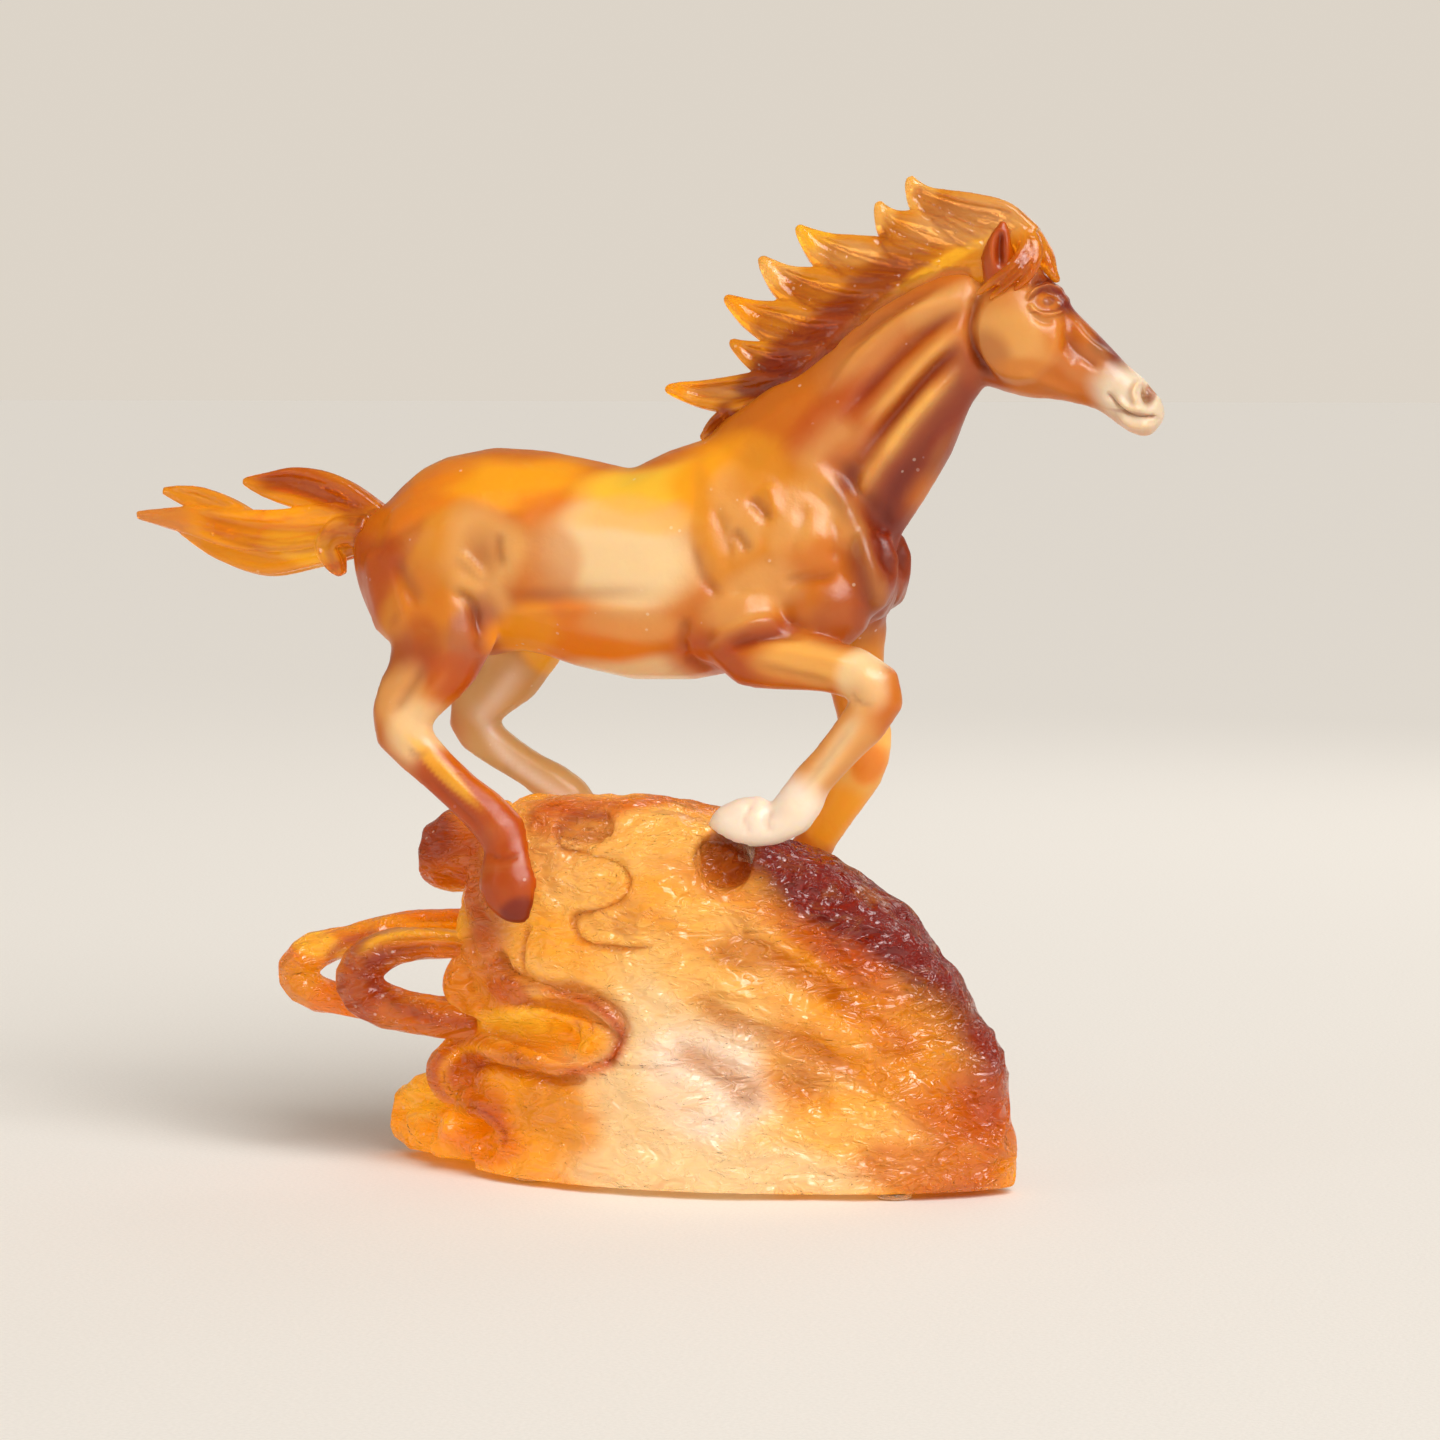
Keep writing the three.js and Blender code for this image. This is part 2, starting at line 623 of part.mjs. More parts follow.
/** The adhesive film inside the tail's root: a round patch of the layer that follows the rump. */
function tailBond(layer) {
  const [x, y, z] = ridden([TAIL_ROOT_X, 0, TAIL_ROOT_Z, 0, 0]);
  const plug = new THREE.CylinderGeometry(TAIL_BOND_RADIUS, TAIL_BOND_RADIUS, TAIL_LENGTH / 2, 16);
  plug.rotateZ(Math.PI / 2);
  plug.translate(x - TAIL_LENGTH / 4, y, z);
  return largest(layer.intersect(solidOf(plug)));
}

// Where the bumpers stand, near the four corners of the underside.
const BUMPERS = {
  bumper_front_right: [77, -16.5],
  bumper_rear_right: [77, 16.5],
  bumper_front_left: [-32, -12],
  bumper_rear_left: [-32, 22],
};

/** A clear bumper: a flat foot, a rounded side and a flat top against the rock's underside. */
function bumperSolid([x, y]) {
  const radius = BUMPER_DIAMETER / 2;
  const rim = BUMPER_HEIGHT * 0.45;
  const profile = new THREE.Path();
  profile.moveTo(0, 0);
  profile.lineTo(radius * 0.72, 0);
  profile.quadraticCurveTo(radius, 0, radius, rim);
  profile.lineTo(radius, BUMPER_HEIGHT);
  profile.lineTo(0, BUMPER_HEIGHT);
  const geometry = new THREE.LatheGeometry(profile.getPoints(3), 16);
  geometry.rotateX(Math.PI / 2);
  geometry.translate(x * rockScale, y * depthScale, 0);
  return solidOf(geometry);
}

// ---------------------------------------------------------------- materials

const glass = (color, roughness) => new THREE.MeshStandardMaterial({ color, roughness, metalness: 0 });
const frostedAmber = glass(0xc8731c, 0.45);
const polishedAmber = glass(0xd07a14, 0.15);
const texturedAmber = glass(0xc66a1a, 0.3);
const clearAdhesive = glass(0xf2eee2, 0.2);
const clearPolymer = glass(0xe9ecec, 0.25);

// ---------------------------------------------------------------- assembly

const FILM_SPACE = BOND_FILM + 2 * BOND_GAP;
const rock = rockSolid();
const aroundRock = rockSolid(FILM_SPACE);
const rockFilm = rockSolid(BOND_GAP + BOND_FILM).subtract(rockSolid(BOND_GAP));
const horse = horseSolid().subtract(aroundRock);
const aroundHorse = horseSolid(FILM_SPACE);
const horseFilm = horseSolid(BOND_GAP + BOND_FILM).subtract(horseSolid(BOND_GAP));

const figurine = new THREE.Group();
figurine.add(meshOf('rock_mount', rock, texturedAmber));
figurine.add(meshOf('horse_body', horse, frostedAmber));
figurine.add(meshOf('mane', maneSolid().subtract(aroundHorse), polishedAmber));
figurine.add(meshOf('tail', tailSolid().subtract(aroundHorse), polishedAmber));
for (const [name, loop] of Object.entries(LOOPS)) {
  figurine.add(meshOf(name, loopSolid(loop, aroundRock), texturedAmber));
}
figurine.add(meshOf('mane_bond', maneBond(horseFilm), clearAdhesive));
figurine.add(meshOf('tail_bond', tailBond(horseFilm), clearAdhesive));
for (const name of Object.keys(LEGS)) {
  figurine.add(meshOf(`hoof_bond_${name}`, hoofBond(name, rockFilm), clearAdhesive));
}
for (const [name, place] of Object.entries(BUMPERS)) {
  figurine.add(meshOf(name, bumperSolid(place), clearPolymer));
}

// The frame's origin is under the middle of the bounding box.
const bounds = new THREE.Box3().setFromObject(figurine);
const centre = bounds.getCenter(new THREE.Vector3());
figurine.position.set(-centre.x, -centre.y, -bounds.min.z);

export default figurine;
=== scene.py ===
"""The looks of a cast glass figurine: a galloping horse on a scrolled wave rock.

Sizes are in drawn millimetres: X runs along the figurine towards the head, the near side is -Y, and Z is up.
"""

import logging
import math
from abc import ABC, abstractmethod
from dataclasses import dataclass
from enum import Enum
from typing import ClassVar

import bmesh
import bpy
import numpy as np
from mathutils import Matrix, Vector, noise
from mathutils.bvhtree import BVHTree


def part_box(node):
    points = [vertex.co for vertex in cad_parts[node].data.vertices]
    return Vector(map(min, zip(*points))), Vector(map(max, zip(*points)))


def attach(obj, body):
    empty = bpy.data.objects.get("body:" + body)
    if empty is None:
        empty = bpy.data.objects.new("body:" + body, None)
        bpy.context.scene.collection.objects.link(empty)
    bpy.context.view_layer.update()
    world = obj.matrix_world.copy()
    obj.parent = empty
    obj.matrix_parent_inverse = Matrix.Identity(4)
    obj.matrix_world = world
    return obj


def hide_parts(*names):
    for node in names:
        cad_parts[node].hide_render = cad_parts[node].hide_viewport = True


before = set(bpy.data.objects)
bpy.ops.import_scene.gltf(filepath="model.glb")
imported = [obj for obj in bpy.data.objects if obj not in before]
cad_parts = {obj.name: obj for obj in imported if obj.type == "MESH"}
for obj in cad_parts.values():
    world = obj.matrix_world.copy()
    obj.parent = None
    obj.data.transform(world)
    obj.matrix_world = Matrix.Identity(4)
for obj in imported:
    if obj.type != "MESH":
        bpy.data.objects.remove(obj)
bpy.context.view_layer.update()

MM = 0.001
# Where the front right bumper stands in drawn millimetres, which ties them to the frame.
BUMPER_DRAWN = (77.0, -16.5)
Path = tuple[tuple[float, float], ...]
log = logging.getLogger("figurine")


def drawn_origin() -> Vector:
    """The drawn frame's origin, in the frame's metres.

    Returns:
        The point that drawn (0, 0, 0) has in the frame.
    """
    low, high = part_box("bumper_front_right")
    middle = (low + high) / 2
    return Vector((middle.x - BUMPER_DRAWN[0] * MM, middle.y - BUMPER_DRAWN[1] * MM, 0.0))


ORIGIN = drawn_origin()


def placed(x: float, y: float, z: float) -> Vector:
    """A drawn point in the frame's metres.

    Args:
        x, y, z: the point in drawn millimetres.

    Returns:
        The point in metres.
    """
    return ORIGIN + Vector((x, y, z)) * MM


class Side(Enum):
    """Which flank of a piece a mark is worked on; ALL takes in the top and underside too."""

    NEAR = -1
    FAR = 1
    BOTH = 0
    ALL = 2


class Edge(Enum):
    """How a mark fades out: round like a thumb's, keen like a knife's, or flat with a rim."""

    ROUND = "round"
    KEEN = "keen"
    FLAT = "flat"


class Tint(Enum):
    """The colours that the glass was cast in, as 0 to 255 screen values."""

    SUN = (255, 196, 48)
    MARIGOLD = (250, 168, 10)
    ORANGE = (232, 130, 2)
    AMBER = (208, 114, 12)
    GOLD = (222, 144, 26)
    BURNT = (190, 80, 0)
    RUST = (168, 66, 14)
    OXBLOOD = (136, 34, 6)
    GARNET = (112, 12, 4)
    TAN = (230, 172, 96)
    HONEY = (248, 192, 96)
    CREAM = (244, 216, 164)
    MIST = (232, 212, 184)
    SAND = (216, 170, 104)
    PEARL = (248, 230, 210)
    CLAY = (212, 132, 60)
    PLUM = (164, 80, 56)

    @property
    def linear(self) -> np.ndarray:
        """The colour as linear light, three numbers from 0 to 1."""
        share = np.array(self.value, float) / 255
        return np.where(share <= 0.04045, share / 12.92, ((share + 0.055) / 1.055) ** 2.4)


def smooth_curve(points: tuple[tuple[float, ...], ...], per_span: int) -> np.ndarray:
    """A Catmull-Rom curve through points.

    Args:
        points: the points it passes.
        per_span: how many steps lie between two of them.

    Returns:
        The curve's points, one row each.
    """
    rows = np.array(points, float)
    ends = np.vstack([2 * rows[0] - rows[1], rows, 2 * rows[-1] - rows[-2]])
    t = np.linspace(0, 1, per_span, endpoint=False)[:, None]
    spans = []
    for a, b, c, d in zip(ends[:-3], ends[1:-2], ends[2:-1], ends[3:]):
        cubic = 3 * b - 3 * c + d - a
        spans.append((2 * b + (c - a) * t + (2 * a - 5 * b + 4 * c - d) * t**2 + cubic * t**3) / 2)
    return np.vstack([*spans, rows[-1:]])


def eased(share: np.ndarray) -> np.ndarray:
    """Shares held between 0 and 1, with the turns at both ends rounded."""
    held = np.clip(share, 0, 1)
    return held * held * (3 - 2 * held)


def tilted(x: np.ndarray, z: np.ndarray, lean: float) -> tuple[np.ndarray, np.ndarray]:
    """Coordinates measured along a leaning axis.

    Args:
        x, z: the coordinates.
        lean: the axis's lean in degrees.

    Returns:
        The distances along the axis and across it.
    """
    turn = math.radians(lean)
    return x * math.cos(turn) + z * math.sin(turn), z * math.cos(turn) - x * math.sin(turn)


def beside(path: Path, width: float, points: np.ndarray) -> tuple[np.ndarray, np.ndarray, np.ndarray]:
    """Finds the points that lie beside a path in the XZ plane.

    Args:
        path: the points the path runs through.
        width: the path's half width.
        points: the mesh's points.

    Returns:
        The indices of the points within three widths, how many widths off they lie, and how far
        along the path they are from 0 to 1.
    """
    line = smooth_curve(path, 5)
    legs = np.diff(line, axis=0)
    reach = 3 * width
    plan = points[:, [0, 2]]
    near = np.flatnonzero(np.all((plan > line.min(0) - reach) & (plan < line.max(0) + reach), axis=1))
    if not len(near):
        return near, np.zeros(0), np.zeros(0)
    off = plan[near, None, :] - line[None, :-1, :]
    share = np.clip((off * legs).sum(2) / (legs * legs).sum(1), 0, 1)
    gaps = np.linalg.norm(off - share[:, :, None] * legs, axis=2)
    nearest = gaps.argmin(1)
    rows = np.arange(len(near))
    return near, gaps[rows, nearest] / width, (nearest + share[rows, nearest]) / len(legs)


def flank_mask(side: Side, across: np.ndarray, facing: np.ndarray) -> np.ndarray:
    """How much each point belongs to a flank.

    Args:
        side: the flank.
        across: the points' Y.
        facing: the normals' Y.

    Returns:
        A weight from 0 to 1 for each point.
    """
    if side is Side.ALL:
        return np.ones(len(across))
    if side is Side.BOTH:
        return np.clip(np.abs(facing) * 2, 0, 1)
    return np.clip(facing * side.value * 2, 0, 1) * np.clip(across * side.value / 3 + 1, 0, 1)


@dataclass(frozen=True)
class Stroke:
    """A ridge or groove worked along a path in the XZ plane; a positive rise stands out."""

    path: Path
    width: float
    rise: float
    side: Side = Side.BOTH
    edge: Edge = Edge.ROUND
    taper: float = 0.3

    KEEN_FALL: ClassVar[float] = 1.4

    def lift(self, points: np.ndarray, normals: np.ndarray) -> np.ndarray:
        """How far each point moves along its normal.

        Args:
            points: the mesh's points in drawn millimetres.
            normals: their normals.

        Returns:
            One distance in millimetres for each point.
        """
        lifted = np.zeros(len(points))
        near, gap, along = beside(self.path, self.width, points)
        fade = np.exp(-gap * self.KEEN_FALL) if self.edge is Edge.KEEN else np.exp(-(gap**2))
        ends = eased(np.minimum(along, 1 - along) / self.taper)
        mask = flank_mask(self.side, points[near, 1], normals[near, 1])
        lifted[near] = self.rise * fade * ends * mask
        return lifted


@dataclass(frozen=True)
class Dab:
    """A round or oval bulge or hollow in the XZ plane; a negative rise is a hollow."""

    centre: tuple[float, float]
    radii: tuple[float, float]
    rise: float
    lean: float = 0.0
    side: Side = Side.BOTH
    edge: Edge = Edge.ROUND

    RIM_START: ClassVar[float] = 0.82
    RIM_WIDTH: ClassVar[float] = 0.3
    ROUND_FALL: ClassVar[float] = 1.6

    def lift(self, points: np.ndarray, normals: np.ndarray) -> np.ndarray:
        """How far each point moves along its normal.

        Args:
            points: the mesh's points in drawn millimetres.
            normals: their normals.

        Returns:
            One distance in millimetres for each point.
        """
        u, v = tilted(points[:, 0] - self.centre[0], points[:, 2] - self.centre[1], self.lean)
        gap = np.hypot(u / self.radii[0], v / self.radii[1])
        if self.edge is Edge.FLAT:
            fade = eased(1 - (gap - self.RIM_START) / self.RIM_WIDTH)
        else:
            fade = np.exp(-(gap**2) * self.ROUND_FALL)
        return self.rise * fade * flank_mask(self.side, points[:, 1], normals[:, 1])


@dataclass(frozen=True)
class Strands:
    """Fine grooves of hair that run side by side between two guide paths."""

    upper: Path
    lower: Path
    count: int
    width: float = 0.9
    rise: float = -0.7

    def strokes(self) -> list[Stroke]:
        """The separate grooves, deeper and shallower in turn.

        Returns:
            One stroke for each groove.
        """
        ends = [smooth_curve(guide, 12) for guide in (self.upper, self.lower)]
        shares = np.linspace(0, 1, 16)
        guides = [
            np.stack([np.interp(shares, np.linspace(0, 1, len(g)), g[:, k]) for k in (0, 1)], 1) for g in ends
        ]
        made = []
        for i in range(self.count):
            share = (i + 0.5) / self.count
            path = guides[0] * (1 - share) + guides[1] * share
            depth = self.rise * (1.0 if i % 2 else 0.65)
            made.append(Stroke(tuple(map(tuple, path[::3])), self.width, depth, taper=0.2))
        return made


@dataclass(frozen=True)
class Cloud:
    """A cloud of colour: an oval in the XZ plane with a soft edge. Most are the glass's own colour; some are
    painted shade and some painted highlights.
    """

    centre: tuple[float, float]
    radii: tuple[float, float]
    tint: Tint
    strength: float = 1.0
    lean: float = 0.0
    soft: float = 0.7
    side: Side = Side.BOTH

    MOST_SWAY: ClassVar[float] = 1.8

    def weight(self, points: np.ndarray) -> np.ndarray:
        """How much of this colour each point takes.

        Args:
            points: the mesh's points in drawn millimetres.

        Returns:
            A weight from 0 to 1 for each point.
        """
        give = min(self.MOST_SWAY, 0.18 * min(self.radii))
        sway = give * np.sin(points[:, 2] * 0.23 + points[:, 1] * 0.1 + self.centre[0])
        heave = give * np.sin(points[:, 0] * 0.19 + self.centre[1])
        x = points[:, 0] - self.centre[0] + sway
        z = points[:, 2] - self.centre[1] + heave
        u, v = tilted(x, z, self.lean)
        fade = eased((1 + self.soft / 2 - np.hypot(u / self.radii[0], v / self.radii[1])) / self.soft)
        if self.side in (Side.NEAR, Side.FAR):
            fade = fade * np.clip(points[:, 1] * self.side.value / 6 + 0.5, 0, 1)
        return self.strength * fade


@dataclass(frozen=True)
class Streak:
    """A colour that follows a path in the XZ plane."""

    path: Path
    width: float
    tint: Tint
    strength: float = 0.8
    side: Side = Side.BOTH

    TAPER: ClassVar[float] = 0.2

    def weight(self, points: np.ndarray) -> np.ndarray:
        """How much of the colour each point takes.

        Args:
            points: the mesh's points in drawn millimetres.

        Returns:
            A weight from 0 to 1 for each point.
        """
        weight = np.zeros(len(points))
        near, gap, along = beside(self.path, self.width, points)
        ends = np.clip(np.minimum(along, 1 - along) / self.TAPER, 0, 1)
        across = points[near, 1]
        mask = flank_mask(self.side, across, np.sign(across))
        weight[near] = self.strength * np.exp(-(gap**2)) * ends * mask
        return weight


Mark = Stroke | Dab
Colouring = Cloud | Streak


class Clay:
    """A mesh that is being shaped and tinted, read as drawn millimetres."""

    TINT_LAYER = "tint"
    # How much red, green and blue the painted shade in a full hollow takes away, and how strong the painted
    # shade in a hollow and the painted highlight on a ridge can be.
    PAINTED_SHADE_LOSS = np.array((0.45, 0.7, 0.85))
    MOST_PAINTED_SHADE = 0.75
    MOST_PAINTED_HIGHLIGHT = 0.5

    def __init__(self, mesh: bpy.types.Mesh) -> None:
        """Takes up a mesh.

        Args:
            mesh: the mesh, in the frame's metres.
        """
        self.mesh = mesh
        self.points = np.zeros((len(mesh.vertices), 3))
        self.normals = np.zeros_like(self.points)
        self.relief = np.zeros(len(mesh.vertices))
        self.read()

    def read(self) -> None:
        """Reads the points and normals from the mesh."""
        count = len(self.mesh.vertices)
        flat = np.zeros(count * 3, np.float32)
        self.mesh.vertices.foreach_get("co", flat)
        self.points = (flat.reshape(-1, 3).astype(float) - np.array(ORIGIN)) / MM
        self.mesh.vertices.foreach_get("normal", flat)
        self.normals = flat.reshape(-1, 3).astype(float)

    def write(self) -> None:
        """Writes the points back to the mesh and reads its new normals."""
        flat = (self.points * MM + np.array(ORIGIN)).astype(np.float32).ravel()
        self.mesh.vertices.foreach_set("co", flat)
        self.mesh.update()
        self.read()

    def work(self, marks: list[Mark]) -> None:
        """Moves the surface by the sum of some marks.

        Args:
            marks: the strokes and dabs to work in.
        """
        lifted = np.zeros(len(self.points))
        for mark in marks:
            lifted += mark.lift(self.points, self.normals)
        self.points += self.normals * lifted[:, None]
        self.relief += lifted
        self.write()

    def swell(self, amount: float) -> None:
        """Moves the whole surface outwards.

        Args:
            amount: how far, in millimetres.
        """
        self.points += self.normals * amount
        self.write()

    def ripple(
        self, amount: float, size: float, along: float = 1.0, lean: float = 0.0, keen: float = 0.0
    ) -> None:
        """Works an uneven relief over the whole surface.

        Args:
            amount: how high the relief stands, in millimetres.
            size: the width of one wave, in millimetres.
            along: how many times longer than wide the waves are.
            lean: how far the waves tilt, in degrees.
            keen: 0 for rolling waves, 1 for sharp crests.
        """
        x, y, z = self.points.T
        u, v = tilted(x, z, lean)
        spots = zip(u / (size * along), v / size, y / size)
        height = np.array([noise.noise(Vector(spot)) for spot in spots])
        crest = (1 - np.abs(height) * 2.2) * 0.5
        self.points += self.normals * (amount * (height * (1 - keen) + crest * keen))[:, None]
        self.write()

    def tinted(self, base: Tint, clouds: list[Colouring], depth: float = 0.4) -> None:
        """Stores a colour for each point, with painted shade in the grooves and painted highlights on the
        ridges.

        Args:
            base: the colour where no cloud lies.
            clouds: the clouds and streaks, each laid over those before it.
            depth: how strong the painted shade in a groove and the painted highlight on a ridge are.
        """
        colour = np.tile(base.linear, (len(self.points), 1))
        for cloud in clouds:
            weight = cloud.weight(self.points)[:, None]
            colour = colour * (1 - weight) + cloud.tint.linear * weight
        # Painted shade: grooves are darkened by their depth. Painted highlight: ridges are blended towards
        # honey.
        hollow = np.clip(-self.relief * depth, 0, self.MOST_PAINTED_SHADE)[:, None]
        painted_highlight = np.clip(self.relief * depth * 0.6, 0, self.MOST_PAINTED_HIGHLIGHT)[:, None]
        colour = colour * (1 - hollow * self.PAINTED_SHADE_LOSS)
        colour = colour * (1 - painted_highlight) + (colour * 0.45 + Tint.HONEY.linear * 0.55) * painted_highlight
        opaque = np.hstack([colour, np.ones((len(colour), 1))]).astype(np.float32)
        layer = self.mesh.attributes.new(self.TINT_LAYER, "FLOAT_COLOR", "POINT")
        layer.data.foreach_set("color", opaque.ravel())


@dataclass(frozen=True)
class Lock:
    """A lock of hair: oval sections along a path of (x, y, z, half across, half tall)."""

    path: tuple[tuple[float, float, float, float, float], ...]
    segments: int = 12

    def add_to(self, bm: bmesh.types.BMesh) -> None:
        """Builds the lock as a closed skin.

        Args:
            bm: the bmesh it is added to.
        """
        line = smooth_curve(self.path, 5)
        last = len(line) - 1
        rings = []
        for i, (x, y, z, across, tall) in enumerate(line):
            ahead = line[min(i + 1, last), :3] - line[max(i - 1, 0), :3]
            along = Vector(ahead).normalized()
            sideways = Vector((0, 1, 0))
            up = along.cross(sideways).normalized()
            sideways = up.cross(along)
            turn = Matrix((sideways, up, along)).transposed().to_4x4()
            size = Matrix.Diagonal((max(across, 0.2) * MM, max(tall, 0.2) * MM, 1, 1))
            place = Matrix.Translation(placed(x, y, z)) @ turn @ size
            ring = bmesh.ops.create_circle(
                bm, cap_ends=i in (0, last), segments=self.segments, radius=1, matrix=place
            )["verts"]
            inside = set(ring)
            rings.append([e for e in {e for v in ring for e in v.link_edges} if inside.issuperset(e.verts)])
        for one, two in zip(rings, rings[1:]):
            bmesh.ops.bridge_loops(bm, edges=one + two)


@dataclass(frozen=True)
class Lip:
    """A rounded rim laid along the near face: points of (x, z, radius)."""

    path: tuple[tuple[float, float, float], ...]
    sunk: float = 0.15

    # The Y that rays start at, the last Y that counts as the near face, and the Y of a point off it.
    OUTSIDE: ClassVar[float] = -80.0
    LAST: ClassVar[float] = 6.0
    OFF_FACE: ClassVar[float] = -8.0

    def laid(self, face: BVHTree) -> Lock:
        """Drops the rim onto the face.

        Args:
            face: the shape that it lies on.

        Returns:
            The rim as a lock.
        """
        rows = []
        for x, z, radius in self.path:
            hit = face.ray_cast(placed(x, self.OUTSIDE, z), Vector((0, 1, 0)))[0]
            y = self.OFF_FACE
            if hit and hit.y < placed(0, self.LAST, 0).y:
                y = (hit.y - ORIGIN.y) / MM + self.sunk * radius
            rows.append((x, y, z, radius, radius))
        return Lock(tuple(rows))


def linked(name: str, data: bpy.types.ID) -> bpy.types.Object:
    """Puts some data in the scene as a new object."""
    made = bpy.data.objects.new(name, data)
    bpy.context.scene.collection.objects.link(made)
    return made


def settled(name: str, bm: bmesh.types.BMesh) -> bpy.types.Object:
    """Turns a bmesh into an object in the scene, and frees it.

    Args:
        name: the object's name.
        bm: the bmesh.

    Returns:
        The object.
    """
    mesh = bpy.data.meshes.new(name)
    bm.to_mesh(mesh)
    bm.free()
    return linked(name, mesh)


def cast(
    name: str,
    node: str,
    voxel: float,
    rounds: int,
    locks: list[Lock] | None = None,
    lips: list[Lip] | None = None,
    keep: bool = True,
) -> bpy.types.Object:
    """A fine even skin over a copy of a CAD node, ready to be worked.

    Args:
        name: the new piece's name.
        node: the CAD node it starts from.
        voxel: the skin's mesh size in millimetres.
        rounds: how many times it is smoothed.
        locks: more closed shapes that are joined in before the skin is made.
        lips: rims that are laid along the near face first.
        keep: whether the CAD node's own shape is kept.

    Returns:
        The new object, at the origin.
    """
    bm = bmesh.new()
    bm.from_mesh(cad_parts[node].data)
    bmesh.ops.remove_doubles(bm, verts=bm.verts, dist=0.01 * MM)
    face = BVHTree.FromBMesh(bm)
    if not keep:
        bm.clear()
    for lock in [*(locks or []), *[lip.laid(face) for lip in lips or []]]:
        lock.add_to(bm)
    bmesh.ops.recalc_face_normals(bm, faces=bm.faces)
    maker = settled(f"{name}_rough", bm)
    rough = maker.data
    skin = maker.modifiers.new("skin", "REMESH")
    skin.mode = "VOXEL"
    skin.voxel_size = voxel * MM
    skin.use_smooth_shade = True
    even = maker.modifiers.new("even", "SMOOTH")
    even.factor = 0.5
    even.iterations = rounds
    bpy.context.view_layer.update()
    graph = bpy.context.evaluated_depsgraph_get()
    mesh = bpy.data.meshes.new_from_object(maker.evaluated_get(graph))
    bpy.data.objects.remove(maker)
    bpy.data.meshes.remove(rough)
    mesh.name = name
    mesh.materials.clear()
    return linked(name, mesh)


def refine(mesh: bpy.types.Mesh, low: tuple[float, float, float], high: tuple[float, float, float]) -> None:
    """Halves the mesh size inside a box, for finer work there.

    Args:
        mesh: the mesh.
        low, high: the box's corners in drawn millimetres.
    """
    bm = bmesh.new()
    bm.from_mesh(mesh)
    start, end = placed(*low), placed(*high)
    inside = {v for v in bm.verts if all(start[k] <= v.co[k] <= end[k] for k in range(3))}
    edges = [e for e in bm.edges if inside.issuperset(e.verts)]
    bmesh.ops.subdivide_edges(bm, edges=edges, cuts=1, use_grid_fill=True)
    bmesh.ops.triangulate(bm, faces=[f for f in bm.faces if len(f.verts) > 4])
    for face in bm.faces:
        face.smooth = True
    bm.to_mesh(mesh)
    bm.free()


class Wire:
    """One value in a material's node tree, with the arithmetic that the finishes need."""

    def __init__(self, graph: "Graph", socket: bpy.types.NodeSocket) -> None:
        """Wraps a socket.

        Args:
            graph: the node tree it belongs to.
            socket: the output socket.
        """
        self.graph = graph
        self.socket = socket

    def maths(self, operation: str, *values: "Wire | float") -> "Wire":
        """The result of a Math node.

        Args:
            operation: the node's operation.
            values: its inputs in order.

        Returns:
            The result.
        """
        return self.graph.node("ShaderNodeMath", {"operation": operation}, dict(enumerate(values))).out(0)

    def __sub__(self, other: "Wire | float") -> "Wire":
        """This less other."""
        return self.maths("SUBTRACT", self, other)

    def __rsub__(self, other: float) -> "Wire":
        """Other less this."""
        return self.maths("SUBTRACT", other, self)

    def __mul__(self, other: "Wire | float") -> "Wire":
        """This times other."""
        return self.maths("MULTIPLY", self, other)

    def __rmul__(self, other: float) -> "Wire":
        """Other times this."""
        return self.maths("MULTIPLY", other, self)

    def between(self, low: float, high: float, start: float = 0.0, end: float = 1.0) -> "Wire":
        """A smooth step from start to end while this goes from low to high."""
        values = {"Value": self, "From Min": low, "From Max": high, "To Min": start, "To Max": end}
        step = self.graph.node("ShaderNodeMapRange", {"interpolation_type": "SMOOTHSTEP"}, values)
        return step.out("Result")


class Placed:
    """A node that has been made, ready to be read."""

    def __init__(self, graph: "Graph", made: bpy.types.Node) -> None:
        """Keeps the node and its tree."""
        self.graph = graph
        self.made = made

    def out(self, name: str | int) -> Wire:
        """One of the node's outputs, by name or number."""
        return Wire(self.graph, self.made.outputs[name])


